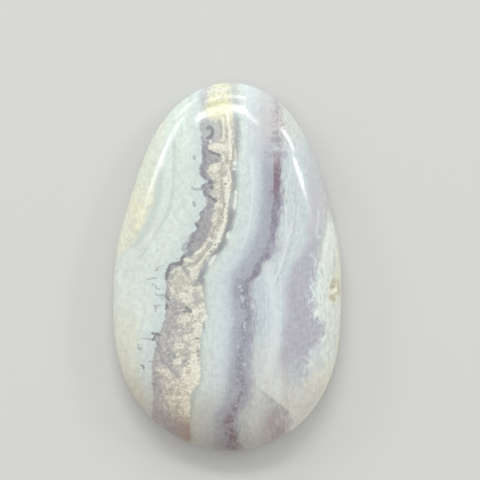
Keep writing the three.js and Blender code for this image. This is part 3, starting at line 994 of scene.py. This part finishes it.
def crystal_zones(p, c, druzy_end):
    """The left side as far as the crystals reach, with a mask of the crystals."""
    w = p.w
    past_break = p.past(p.line(LEFT_BREAK), p.rough_across)
    past_druzy = p.past(p.line(DRUZY_START), p.rough_across)
    past_druzy_end = p.past(druzy_end)
    zone = left_zone(p, c, past_break)
    # Near the narrow end the borders are softer
    firm = w.rise(p.along, 14.4, 13.4, 0.28, 1)
    behind = w.rise(w.product(past_break, firm), -0.14, 0.16)
    zone = w.mix(behind, zone, smoky_zone(p, c, past_break))
    # The dark rim of the break is broad above and thin below
    breadth = w.rise(p.along, 2, 0.5, 0.85, 0.42)
    rim = w.product(
        w.rise(past_break, -0.12, 0.1),
        w.rise(w.wobble(past_break, p.grains, 0.5), breadth, 0.15),
        p.strength(RIM_STRENGTH),
        w.rise(p.lumps, 0.66, 0.45, 0.4, 1),
    )
    zone = w.mix(rim, zone, tone(c.smoke, 0.58, 0.61, 0.64))
    # The crystals begin raggedly, and in the lower half they thin out towards the smoky stone
    ragged = w.wobble(w.wobble(past_druzy, p.grains, 2.2), p.lumps, 1.3)
    thinning = w.rise(ragged, -1.2, 0.9)
    sharp = w.rise(w.math("MULTIPLY", w.wobble(past_druzy, p.grains, 0.4), firm), -0.14, 0.2)
    crystals = w.blend(w.rise(p.along, -1, -4), sharp, thinning)
    zone = w.mix(w.product(behind, crystals), zone, druzy_zone(p, c, past_druzy_end))
    return zone, w.product(crystals, w.rise(past_druzy_end, 0.1, -0.1))


def seam_zones(p, c, druzy_end, seam_end, lavender_start, zone):
    """Pale stone right of the crystals, with a dark seam between them."""
    w = p.w
    past_druzy_end = w.wobble(p.past(druzy_end), p.grains, 0.25)
    past_druzy_end = w.math("MULTIPLY", past_druzy_end, w.rise(p.along, 15.5, 13.5, 0.3, 1))
    mint = w.ramp(
        w.share(p.frosted_across, seam_end, lavender_start),
        (0.0, tone(c.pale, 0.93)),
        (0.25, between(c.pale, c.light_blue, 0.3)),
        (0.6, tone(c.light_blue, 1.02)),
        (1.0, tone(c.light_blue, 0.98)),
    )
    lower = w.rise(p.along, -1, -6)
    mint = w.times(mint, w.mix(lower, (1.04, 1.04, 1.04), (1.06, 1.07, 1.08)))
    lowest = w.rise(p.along, -12.5, -16)
    mint = w.times(mint, w.mix(lowest, UNCHANGED, (0.92, 0.88, 0.85)))
    after_druzy = w.rise(past_druzy_end, -0.12, 0.12)
    zone = w.mix(after_druzy, zone, mint)
    seam = w.ramp(
        w.share(p.across, druzy_end, seam_end),
        (0.0, tone(c.seam, 0.95)),
        (0.5, tone(c.seam, 0.99, 1.0, 1.07)),
        (1.0, between(c.seam, c.light_blue, 0.5)),
    )
    in_seam = w.product(
        after_druzy,
        w.rise(w.wobble(p.past(seam_end), p.grains, 0.9), 0.25, -0.25),
        p.strength(SEAM_STRENGTH),
        w.rise(p.lumps, 0.3, 0.5, 0.6, 1),
    )
    return w.mix(in_seam, zone, seam)


def frost(p, past_line, reach):
    """Pale flecks that gather along a band line."""
    w = p.w
    near = w.rise(w.math("ABSOLUTE", past_line), reach, 0.1)
    return w.product(near, w.rise(p.grit, 0.56, 0.66))


def blue_bands(p, c, lavender_start, purple_line, purple_end, zone):
    """The blue-lavender band, its dark purple line and the fade on the other side."""
    w = p.w
    lavender = w.ramp(
        w.share(p.frosted_across, lavender_start, purple_line),
        (0.0, tone(c.light_blue, 0.84, 0.87, 0.92)),
        (0.35, tone(c.blue_lavender, 1.03, 1.05, 1.04)),
        (0.65, tone(c.blue_lavender, 0.98, 0.97, 0.99)),
        (0.88, tone(c.blue_lavender, 0.94, 0.9, 0.93)),
        (1.0, tone(c.blue_lavender, 0.88, 0.82, 0.86)),
    )
    band_strength = p.strength(BAND_STRENGTH)
    soft_start = w.rise(p.past(lavender_start, p.frosted_across), -0.8, 0.8)
    zone = w.mix(w.product(soft_start, band_strength), zone, lavender)
    fading = w.ramp(
        w.share(p.frosted_across, purple_line, purple_end),
        (0.0, tone(c.blue_lavender, 0.86, 0.82, 0.86)),
        (0.45, tone(c.blue_lavender, 1.0, 0.96, 0.97)),
        (1.0, tone(c.light_blue, 0.93)),
    )
    past_purple = p.past(purple_line)
    after_line = w.rise(past_purple, -0.12, 0.12)
    zone = w.mix(w.product(after_line, band_strength), zone, fading)
    # The core is redder near the narrow end, and it breaks up into crumbs
    off_line = w.math("ABSOLUTE", past_purple)
    narrow = w.product(
        p.crumbled(w.rise(off_line, 0.68, 0.1), 0.8), w.rise(p.lumps, 0.68, 0.42, 0.5, 1)
    )
    # In the lower half the core is broken up into streaks
    off_streaks = w.math("ABSOLUTE", p.past(purple_line, p.frosted_across))
    off_streaks = w.math("MULTIPLY", off_streaks, w.rise(p.along, -15, -17, 1, 0.75))
    coarseness = w.rise(p.along, -13.5, -16, 0.65, 0.2)
    broad = w.product(
        w.rise(w.blend(coarseness, off_streaks, w.wobble(off_streaks, p.grains, 2)), 0.7, -0.1),
        w.rise(p.lumps, 0.62, 0.4, 0.15, 1),
    )
    core = w.product(
        w.blend(w.rise(p.along, -1, -4), narrow, broad), p.strength(CORE_STRENGTH)
    )
    redder = w.math("MAXIMUM", w.rise(p.along, 6.5, 8.5), w.rise(p.along, -14, -17))
    lower = tone(c.purple, 1.08, 1.18, 1.2)
    colour = w.mix(w.rise(p.along, 0, -3), tone(c.purple, 1.01, 1.04, 1.07), lower)
    colour = w.mix(redder, colour, tone(c.purple, 0.96, 0.71, 0.69))
    zone = w.mix(core, zone, colour)
    flecks = w.math("MAXIMUM", frost(p, past_purple, 1.6), frost(p, p.past(lavender_start), 1.5))
    flecks = w.product(flecks, band_strength, w.rise(p.along, 6, 1, 0.15, 0.75))
    return w.mix(flecks, zone, tone(c.light_blue, 1.04))


def right_zones(p, c, purple_end, right_start, right_end, zone):
    """The light band, the lavender-grey band and the pale edge on the right, with painted light
    low on that edge and a painted highlight along it.
    """
    w = p.w
    light = w.ramp(
        w.share(p.frosted_across, purple_end, right_start),
        *tones(c.light_blue, (0, 0.94), (0.25, 0.985), (0.6, 1.01), (0.85, 0.99), (1, 0.95)),
    )
    soft_end = w.rise(p.past(purple_end, p.frosted_across), -0.45, 0.45)
    bluer = w.product(w.rise(p.along, 1, -1), w.rise(p.along, -9, -6))
    light = w.times(light, w.mix(bluer, (1.015, 1.02, 1.01), (0.985, 1.0, 1.03)))
    zone = w.mix(soft_end, zone, light)
    lower = w.product(w.rise(p.along, -6, -12), w.rise(p.x, 2.2, 3.6))
    zone = w.lay(lower, 0.85, zone, tone(c.light_blue, 1.19, 1.15, 1.11))
    zone = w.lit(zone, w.rise(p.lumps, 0.3, 0.7, 0.93, 1.045))
    pinkish = w.product(w.rise(p.along, 2, 6), w.rise(p.across, 8.6, 10.2))
    zone = w.mix(pinkish, zone, tone(c.light_blue, 1.04, 0.97, 0.93))
    edge_zone = w.ramp(
        w.blend(0.5, p.lumps, p.streaks),
        (0.34, tone(c.lavender_grey, 1.22, 1.25, 1.22)),
        (0.45, tone(c.pale, 1.08, 1.08, 1.1)),
        (0.53, tone(c.pale, 1.14, 1.14, 1.16)),
        (0.64, tone(c.pale, 1.2, 1.2, 1.22)),
    )
    # Painted light: lower down, the right edge is made lighter where the dome turns away from the
    # lamps
    lowest = w.mix(
        w.rise(p.mottle, 0.4, 0.6),
        tone(c.edge_cream, 1.19, 1.16, 1.18),
        tone(c.edge_cream, 1.29, 1.26, 1.28),
    )
    edge_zone = w.mix(w.rise(p.along, -9, -13), edge_zone, lowest)
    past_right_end = w.wobble(w.wobble(p.past(right_end), p.lumps, 2.2), p.streaks, 1.2)
    past_right_start = w.wobble(w.wobble(p.past(right_start), p.lumps, 1.6), p.streaks, 1.6)
    zone = w.mix(w.rise(past_right_end, -0.7, 0.6), zone, edge_zone)
    right = w.ramp(
        p.lumps,
        (0.32, tone(c.lavender_grey, 0.97, 0.98, 0.98)),
        (0.5, tone(c.lavender_grey, 1.06)),
        (0.68, tone(c.lavender_grey, 1.2)),
    )
    in_right = w.product(
        w.rise(past_right_start, -0.4, 0.45),
        w.rise(past_right_end, 0.65, -0.65),
        p.strength(RIGHT_STRENGTH),
    )
    zone = w.mix(in_right, zone, right)
    # The stone turns warm towards the right edge
    zone = w.mix(w.rise(p.x, 9.5, 12, 0, 0.45), zone, tone(c.edge_cream, 1.1, 1.1, 1.08))
    # The lower right corner takes half of that painted light
    corner = w.product(w.rise(p.frosted_across, 5.2, 7.2), w.rise(p.along, -11.5, -14.5))
    zone = w.mix(corner, zone, w.mix(0.5, lowest, tone(c.light_blue, 1.0, 0.95, 0.92)))
    # A thin bright rim on the steep right side of the dome, as a painted highlight
    rim = w.product(w.rise(p.z, 3.3, 2.4), w.rise(p.x, 5, 8), w.rise(p.along, 3, 0))
    return w.lay(rim, 0.7, zone, tone(c.cream, 1.05))


def wide_end(p, c, purple_line, zone):
    """A wedge of grey and mauve near the wide end, with a straight upper edge."""
    w = p.w
    sloped = w.math("MULTIPLY_ADD", p.across, WEDGE_SLOPE, p.along)
    above_edge = w.math("ADD", sloped, WEDGE_CROSSING)
    clouded = w.blend(0.5, p.cloud, p.streaks)
    wedge = w.ramp(
        clouded,
        *tones(
            c.smoke,
            (0.38, 1.04, 1.13, 1.13),
            (0.47, 1.15, 1.24, 1.24),
            (0.55, 1.28, 1.34, 1.32),
            (0.64, 1.4, 1.43, 1.4),
        ),
    )
    mauve = w.product(
        w.rise(p.along, -14.5, -17), w.rise(clouded, 0.58, 0.45), w.rise(p.across, 3.6, 4.8)
    )
    wedge = w.lay(mauve, 0.8, wedge, tone(c.smoke, 1.2, 1.08, 1.1))
    glow = w.product(
        w.rise(above_edge, -0.05, 0.15), w.rise(above_edge, 0.9, 0.2), w.rise(p.across, 3.2, 5.0)
    )
    zone = w.lay(glow, 0.55, zone, tone(c.edge_cream, 1.16, 1.18, 1.25))
    in_wedge = w.product(
        w.rise(above_edge, 0.1, -0.2),
        w.rise(w.wobble(p.frosted_across, p.lumps, 3.5), 2.5, 5.1, 0, 0.95),
        w.rise(w.wobble(p.frosted_across, p.lumps, 2), 7.3, 5.8),
        w.rise(w.wobble(p.past(purple_line), p.lumps, 2), 0.5, 1.5),
    )
    return w.mix(in_wedge, zone, wedge)


def stone_colour(p, c):
    """The colour of the banded stone, zone by zone from the left edge to the right one."""
    druzy_end = p.line(DRUZY_END)
    seam_end = p.line(SEAM_END)
    lavender_start = p.line(LAVENDER_START)
    purple_line = p.line(PURPLE_LINE)
    purple_end = p.line(PURPLE_END)

    zone, crystals = crystal_zones(p, c, druzy_end)
    zone = seam_zones(p, c, druzy_end, seam_end, lavender_start, zone)
    zone = blue_bands(p, c, lavender_start, purple_line, purple_end, zone)
    zone = right_zones(
        p, c, purple_end, p.line(RIGHT_BAND_START), p.line(RIGHT_BAND_END), zone
    )
    zone = wide_end(p, c, purple_line, zone)

    zone = growth_lines(p, crystals, seam_end, purple_line, zone)
    zone, specks = drawn_marks(p, c, zone)
    return tinted_and_shaded_ends(p, zone), crystals, specks


def growth_lines(p, crystals, seam_end, purple_line, zone):
    """Faint streaks and growth lines over everything but the crystals."""
    w = p.w
    lines = w.join(
        w.math("MULTIPLY", w.share(p.across, seam_end, purple_line), 7),
        w.math("MULTIPLY", p.along, LINES_ALONG),
        4,
    )
    growth = w.noise(lines, 1.0, 3, 0.6)
    streak = w.rise(p.streaks, 0.3, 0.7, -1, 1)
    feathered = w.rise(p.past(purple_line), -1.0, 1.5, 0.03, 0.06)
    fine = w.product(
        w.rise(growth, 0.3, 0.7, 0.965, 1.025),
        w.math("MULTIPLY_ADD", streak, feathered, 0.995),
        w.rise(p.grains, 0.3, 0.7, 0.97, 1.03),
    )
    return w.mix(crystals, w.lit(zone, fine), zone)


def drawn_marks(p, c, zone):
    """The marks over all the bands, with a mask of the rusty crumbs and the pin-holes."""
    w = p.w
    crumbs = w.product(p.ovals("crumbs", PURPLE_CRUMBS, 0.7), w.rise(p.grains, 0.55, 0.35))
    mauve = p.ovals("mauve patches", MAUVE_PATCHES, 0.9)
    zone = w.lay(mauve, 0.5, zone, tone(c.light_blue, 0.99, 0.9, 0.93))
    zone = w.lay(crumbs, 0.5, zone, tone(c.purple, 1.15, 1.08, 1.05))
    pit = p.crumbled(w.wobble(p.ovals("rusty crumbs", RUSTY_CRUMBS, 0.9), p.lumps, 1.2), 1.2)
    # They don't come back on the side that turns under
    pit = w.product(pit, w.rise(p.z, GIRDLE_BOTTOM, GIRDLE_TOP))
    # The pin-holes are dark dots of painted shade, with no hollow cut for them
    pin_holes = p.ovals("pin-holes", PIN_HOLES)
    for mask, strength, colour in (
        (p.traces("contours", CONTOURS, 0.8), 1.0, tone(c.pale, 0.78, 0.79, 0.8)),
        (p.traces("pale streaks", PALE_STREAKS, 0.9), 0.8, tone(c.white, 0.95, 0.97, 1.03)),
        (p.traces("flare", FLARE, 0.9), 0.65, c.white),
        (p.strokes("grey marks", GREY_MARKS, 0.9), 0.58, tone(c.smoke, 0.72, 0.77, 0.78)),
        (p.strokes("dark marks", DARK_MARKS, 0.6), 0.8, tone(c.smoke, 0.5, 0.52, 0.54)),
        (
            p.crumbled(w.wobble(p.ovals("lilac spots", LILAC_SPOTS, 0.9), p.lumps, 1.6), 0.7),
            0.35,
            tone(c.purple, 1.1, 1.17, 1.2),
        ),
        (p.crumbled(p.ovals("pale spots", PALE_SPOTS, 0.8), 0.7), 0.5, tone(c.light_blue, 1.03)),
        (p.ovals("white spots", WHITE_SPOTS, 0.6), 0.75, tone(c.white, 0.99)),
        (p.ovals("pit glow", PIT_GLOW, 0.9), 0.5, tone(c.patch_cream, 1.1, 1.1, 1.05)),
        (pit, 0.5, tone(c.beige, 0.62, 0.56, 0.42)),
        (pin_holes, 0.65, tone(c.smoke, 0.34, 0.33, 0.3)),
    ):
        zone = w.lay(mask, strength, zone, colour)
    return zone, w.math("MAXIMUM", pit, pin_holes)


def tinted_and_shaded_ends(p, zone):
    """The narrow end is warmer on the right, and towards the wide end the colour is darkened and
    warmed as painted shade, less so along the right edge.
    """
    w = p.w
    warm = w.product(w.rise(p.y, 12, 16), w.rise(p.x, 2, 5))
    zone = w.times(zone, w.mix(warm, UNCHANGED, (1.05, 1.0, 0.94)))
    # Painted shade: darker and warmer towards the wide end
    end = w.ramp(
        w.share(p.y, -20, -8),
        (0.0, (0.78, 0.67, 0.6)),
        (0.25, (0.88, 0.8, 0.75)),
        (0.5, (0.97, 0.93, 0.89)),
        (0.75, (1.01, 0.99, 0.975)),
        (1.0, (1.01, 1.01, 1.01)),
    )
    shaded_end = w.times(zone, end)
    return w.mix(w.rise(p.x, 6.2, 7.2, 0, 0.75), shaded_end, zone)


GRAIN_STRENGTH = 0.15
GRAIN_HEIGHT = 0.02
REFRACTION = 1.54
# The share of light that goes into the stone, and how far it spreads there
INNER_LIGHT = 0.3
INNER_REACH = 1


def relief(p):
    """The polish's faint ripple and the crystals' grain, as a bumped normal."""
    w = p.w
    on_crystals = w.product(
        w.rise(p.past(p.line(DRUZY_START)), -0.1, 0.2),
        w.rise(p.past(p.line(DRUZY_END)), 0.1, -0.2, 0.0, 1.0),
    )
    height = w.product(p.grains, w.rise(on_crystals, 0, 1, 0.04, 1.0))
    made = w.add("ShaderNodeBump")
    names = ("Strength", "Distance", "Height")
    w.fill((made.inputs[name] for name in names), (GRAIN_STRENGTH, GRAIN_HEIGHT * MM, height))
    return made.outputs[0]


def cabochon_material(colours):
    """Polished, translucent banded chalcedony."""
    material = new_material("polished chalcedony")
    w = Wiring(material.node_tree)
    p = BandPattern(w)
    zone, crystals, holes = stone_colour(p, colours)

    shader = w.add("ShaderNodeBsdfPrincipled")
    # The polish is a little duller over the crystals and in the pin-holes and the natural pit
    pores = w.product(crystals, w.rise(p.grit, 0.4, 0.3))
    polish = w.rise(p.cloud, 0.3, 0.7, 0.09, 0.13)
    dull = w.math("MAXIMUM", w.math("MULTIPLY", crystals, 0.15), w.math("MAXIMUM", holes, pores))
    w.feed(shader.inputs["Roughness"], w.blend(dull, polish, 0.5))
    shader.inputs["IOR"].default_value = REFRACTION
    shader.inputs["Subsurface Weight"].default_value = INNER_LIGHT
    shader.inputs["Subsurface Radius"].default_value = (1, 1, 1)
    shader.inputs["Subsurface Scale"].default_value = INNER_REACH * MM
    w.feed(shader.inputs["Base Color"], zone)
    w.feed(shader.inputs["Normal"], relief(p))
    w.surface(shader)
    return material


def size_property(name, description, default):
    """A length that a user can change."""
    return FloatProperty(name=name, description=description, default=default, unit="LENGTH")


class CabochonSizes(bpy.types.PropertyGroup):
    """Sizes of the stone."""

    length: size_property("Length", "From the wide end to the narrow end", CAD_SIZE.y)
    width: size_property("Width", "Across the widest place", CAD_SIZE.x)
    thickness: size_property("Thickness", "From the back to the top of the dome", CAD_SIZE.z)
    pit_depth: size_property(
        "Pit depth", "How deep the natural pit by the girdle goes", PIT_DEPTH * MM
    )


def colour_property(name, description, *screen):
    """A colour that a user can change, with its default as it looks on a screen."""
    return FloatVectorProperty(
        name=name,
        description=description,
        default=shade(*screen),
        subtype="COLOR",
        min=0,
        max=1,
    )


class StoneColours(bpy.types.PropertyGroup):
    """Colours of the stone's bands."""

    pale: colour_property("Pale", "Pale, faintly green stone", 214, 224, 217)
    light_blue: colour_property("Light blue", "The lightest blue bands", 208, 217, 218)
    blue_lavender: colour_property("Blue lavender", "Band left of the purple line", 177, 181, 190)
    purple: colour_property("Purple", "Dark core of the purple line", 136, 129, 142)
    lavender_grey: colour_property("Lavender grey", "Broad band at the right", 184, 183, 191)
    smoke: colour_property("Smoke", "Half-clear grey behind the break", 178, 177, 181)
    seam: colour_property("Seam", "Dark seam right of the crystals", 155, 156, 154)
    beige: colour_property("Beige", "Body of the crystalline zone", 204, 202, 190)
    cream: colour_property("Cream", "Lightest crystals and lines", 232, 232, 216)
    patch_cream: colour_property("Patch cream", "Cream patch at the left edge", 229, 225, 199)
    edge_cream: colour_property("Edge cream", "Creamy rim", 214, 214, 199)
    white: colour_property("White", "Milky lenses", 241, 244, 236)


class StudioSettings(bpy.types.PropertyGroup):
    """Floor, air and lights round the stone."""

    floor_colour: colour_property("Floor colour", "Colour of the plain floor", 214, 214, 212)
    air_strength: FloatProperty(
        name="Air strength",
        description="Brightness of the even light from all round",
        default=0.627,
        min=0,
    )
    light_strength: FloatProperty(
        name="Light strength",
        description="Brightness of the lamps, as a share of the usual",
        default=1,
        min=0,
    )


def in_pit(sizes, place):
    """How far a point is inside the pit: 1 at its middle and 0 at its rim and outside."""
    edge = outline(sizes, PIT_BEARING)
    middle = edge * (1 - PIT_INSET * MM / edge.length)
    outward = Vector((math.cos(PIT_BEARING), math.sin(PIT_BEARING)))
    away = place - middle
    across = away.dot(outward) / (PIT_WIDTH * MM / 2)
    along = (away.y * outward.x - away.x * outward.y) / (PIT_LENGTH * MM / 2)
    return max(0, 1 - math.hypot(across, along))


def spin_section(bm, sizes, along):
    """Spins the section round the upright axis, and notes in a layer how far along it each point
    is from the crown. Gives that length at the girdle and at the middle of the back."""
    reach = sizes.width / 2
    ring = []
    length = 0.0
    points = section(sizes)
    for i, (share, height) in enumerate(points):
        if i:
            last_share, last_height = points[i - 1]
            length += math.hypot((share - last_share) * reach, height - last_height)
        vert = bm.verts.new((share, 0, height))
        vert[along] = length
        ring.append(vert)
    total = ring[-1][along]
    half = ring[DOME_RINGS + GIRDLE_RINGS // 2][along]
    edges = [bm.edges.new(pair) for pair in zip(ring, ring[1:])]
    bmesh.ops.spin(
        bm,
        geom=ring + edges,
        cent=(0, 0, 0),
        axis=(0, 0, 1),
        dvec=(0, 0, 0),
        angle=2 * math.pi,
        steps=BEARINGS,
        use_merge=True,
        use_duplicate=False,
    )
    bmesh.ops.remove_doubles(bm, verts=bm.verts, dist=JOIN_WITHIN)
    return half, total


def bend_to_outline(bm, sizes, bearing_of):
    """Moves each point of the round stone out to the egg's outline at its own bearing, and notes
    the bearing in a layer."""
    for vert in bm.verts:
        share = math.hypot(vert.co.x, vert.co.y)
        turn = math.atan2(vert.co.y, vert.co.x)
        bearing = PIT_BEARING + turn - PIT_CROWDING * math.sin(turn)
        vert[bearing_of] = bearing
        edge = outline(sizes, bearing)
        vert.co.x = edge.x * share
        vert.co.y = edge.y * share
    bmesh.ops.recalc_face_normals(bm, faces=bm.faces)


def press_pit(bm, sizes):
    """Presses the pit in along the skin's normal, with crumbs of crystal on its floor."""
    bm.normal_update()
    pressed = []
    for vert in bm.verts:
        if vert.co.z < GIRDLE_BOTTOM * MM:
            continue
        inside = in_pit(sizes, vert.co.xy)
        if inside > 0:
            crumb = noise.noise(vert.co / MM * PIT_CRUMBS) * PIT_CRUMB_DEPTH
            bowl = min(1, inside * PIT_STEEPNESS)
            depth = sizes.pit_depth * bowl * bowl * (3 - 2 * bowl) * (PIT_FLOOR + crumb)
            pressed.append((vert, vert.co - vert.normal * depth))
    for vert, place in pressed:
        vert.co = place


def map_flat(bm, sizes, along, bearing_of, half, total):
    """A flat map, with the dome's half of the skin beside the back's half."""
    layer = bm.loops.layers.uv.new("OFBake")
    for face in bm.faces:
        middle = sum(vert[along] for vert in face.verts) / len(face.verts)
        on_back = middle > half
        centre, way = (0.75, -1) if on_back else (0.25, 1)
        for loop in face.loops:
            vert = loop.vert
            edge = outline(sizes, vert[bearing_of])
            share = (total - vert[along]) / (total - half) if on_back else vert[along] / half
            scale = MAP_WIDTH * share / sizes.width
            loop[layer].uv = (centre + way * edge.x * scale, 0.5 + edge.y * scale)


def stone_mesh(sizes):
    """The stone's skin."""
    bm = bmesh.new()
    along = bm.verts.layers.float.new("along")
    bearing_of = bm.verts.layers.float.new("bearing")
    half, total = spin_section(bm, sizes, along)
    bend_to_outline(bm, sizes, bearing_of)
    press_pit(bm, sizes)
    map_flat(bm, sizes, along, bearing_of, half, total)
    for face in bm.faces:
        face.smooth = True
    mesh = bpy.data.meshes.new("chalcedony_cabochon")
    bm.to_mesh(mesh)
    bm.free()
    return mesh


class CABOCHON_OT_make_stone(bpy.types.Operator):
    """Make the polished stone over its solid"""

    bl_idname = "cabochon.make_stone"
    bl_label = "Make stone"

    def execute(self, context):
        scene = context.scene
        stone = bpy.data.objects.new("chalcedony_cabochon", stone_mesh(scene.cabochon_sizes))
        scene.collection.objects.link(stone)
        stone.data.materials.append(cabochon_material(scene.cabochon_colours))
        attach(stone, "root")
        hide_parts("cabochon")
        return {"FINISHED"}


# Camera, floor and lamps

PICTURE_PIXELS = 480
PIXELS_PER_MM = 9.2
# In millimetres, as wide as the picture is at the girdle
PICTURE_SIDE = PICTURE_PIXELS / PIXELS_PER_MM
SENSOR_WIDTH = 36
NEAREST_SEEN = 0.01
FLOOR_REACH = 1.5
# A hair below the stone, so that its back and the floor aren't in one plane
FLOOR_DROP = 0.02
FLOOR_ROUGHNESS = 0.8

# Each lamp's azimuth and elevation in degrees, width and height in metres, radiance, roll in
# degrees and shape
LAMPS = {
    "main_softbox": (98, 43, 0.62, 0.15, 9.5, -4, "RECTANGLE"),
    "main_tail": (72, 46, 0.27, 0.08, 5, -22, "ELLIPSE"),
    "low_strip": (94, 25, 0.56, 0.11, 6.5, 0, "RECTANGLE"),
    "left_strip": (141, 24.5, 0.4, 0.16, 4.5, 20, "ELLIPSE"),
    "far_left_strip": (156, 26, 0.26, 0.16, 4.5, -40, "ELLIPSE"),
    "left_glow": (126, 4, 0.34, 0.22, 3, 0, "ELLIPSE"),
    "right_strip": (37, 27, 0.24, 0.13, 8, 16, "ELLIPSE"),
    "far_right_strip": (23.2, 31.8, 0.19, 0.15, 9.5, 27, "ELLIPSE"),
}


def add_lamp(scene, name, strength):
    """A soft lamp a metre away that faces the stone. Azimuth is counted from +X towards +Y."""
    azimuth, elevation, width, height, radiance, roll, shape = LAMPS[name]
    data = bpy.data.lights.new(name, "AREA")
    data.shape = shape
    data.size = width
    data.size_y = height
    # A lamp's power is its radiance over its area, for light that leaves one face evenly
    area = width * height * (math.pi / 4 if shape == "ELLIPSE" else 1)
    data.energy = radiance * strength * math.pi * area
    lamp = bpy.data.objects.new(name, data)
    a, e = math.radians(azimuth), math.radians(elevation)
    toward = Vector((math.cos(a) * math.cos(e), math.sin(a) * math.cos(e), math.sin(e)))
    side = Vector((-math.sin(a), math.cos(a), 0))
    up = toward.cross(side)
    turn = Matrix((side, up, toward)).transposed().to_4x4()
    turn = turn @ Matrix.Rotation(math.radians(roll), 4, "Z")
    lamp.matrix_world = Matrix.Translation(toward) @ turn
    scene.collection.objects.link(lamp)


def make_floor(scene, settings):
    """A plain floor under the stone."""
    bm = bmesh.new()
    bmesh.ops.create_grid(bm, x_segments=2, y_segments=2, size=FLOOR_REACH)
    bmesh.ops.translate(bm, verts=bm.verts, vec=(0, 0, -FLOOR_DROP * MM))
    mesh = bpy.data.meshes.new("floor")
    bm.to_mesh(mesh)
    bm.free()
    floor = bpy.data.objects.new("floor", mesh)
    scene.collection.objects.link(floor)
    material = new_material("plain pale floor")
    w = Wiring(material.node_tree)
    shader = w.add("ShaderNodeBsdfPrincipled")
    shader.inputs["Base Color"].default_value = (*settings.floor_colour, 1)
    shader.inputs["Roughness"].default_value = FLOOR_ROUGHNESS
    w.surface(shader)
    mesh.materials.append(material)
    return floor


def make_air(scene, settings):
    """Even light from all round."""
    world = bpy.data.worlds.new("studio air")
    world.use_nodes = True
    background = world.node_tree.nodes["Background"]
    background.inputs["Color"].default_value = (1, 1, 1, 1)
    background.inputs["Strength"].default_value = settings.air_strength
    scene.world = world


def make_camera(scene):
    """A camera straight above the stone, whose picture shows it as large as it was read off."""
    data = bpy.data.cameras.new("camera")
    data.sensor_width = SENSOR_WIDTH
    data.lens = SENSOR_WIDTH * VIEW_HEIGHT / PICTURE_SIDE
    data.clip_start = NEAREST_SEEN
    camera = bpy.data.objects.new("camera", data)
    camera.location = Vector((*VIEW_MIDDLE, GIRDLE_TOP + VIEW_HEIGHT)) * MM
    scene.collection.objects.link(camera)
    scene.camera = camera


class CABOCHON_OT_make_studio(bpy.types.Operator):
    """Make the pale floor, the soft lamps, the air and the camera"""

    bl_idname = "cabochon.make_studio"
    bl_label = "Make studio"

    def execute(self, context):
        scene = context.scene
        settings = scene.cabochon_studio
        floor = make_floor(scene, settings)
        make_air(scene, settings)
        for name in LAMPS:
            add_lamp(scene, name, settings.light_strength)
        make_camera(scene)
        scene.view_settings.view_transform = "Standard"
        return {"FINISHED"}


class CABOCHON_PT_panel(bpy.types.Panel):
    """The cabochon's settings and buttons"""

    bl_label = "Chalcedony cabochon"
    bl_idname = "CABOCHON_PT_panel"
    bl_space_type = "VIEW_3D"
    bl_region_type = "UI"
    bl_category = "Cabochon"

    def draw(self, context):
        scene = context.scene
        for group in (scene.cabochon_sizes, scene.cabochon_colours, scene.cabochon_studio):
            box = self.layout.box()
            for name in group.__annotations__:
                box.prop(group, name)
        self.layout.operator("cabochon.make_stone")
        self.layout.operator("cabochon.make_studio")


CLASSES = (
    CabochonSizes,
    StoneColours,
    StudioSettings,
    CABOCHON_OT_make_stone,
    CABOCHON_OT_make_studio,
    CABOCHON_PT_panel,
)


def register():
    """Adds the settings, the buttons and the panel."""
    for cls in CLASSES:
        bpy.utils.register_class(cls)
    bpy.types.Scene.cabochon_sizes = PointerProperty(type=CabochonSizes)
    bpy.types.Scene.cabochon_colours = PointerProperty(type=StoneColours)
    bpy.types.Scene.cabochon_studio = PointerProperty(type=StudioSettings)


def unregister():
    """Takes them away again."""
    del bpy.types.Scene.cabochon_studio
    del bpy.types.Scene.cabochon_colours
    del bpy.types.Scene.cabochon_sizes
    for cls in reversed(CLASSES):
        bpy.utils.unregister_class(cls)


def main():
    register()
    bpy.ops.cabochon.make_stone()
    bpy.ops.cabochon.make_studio()


if __name__ == "__main__":
    main()
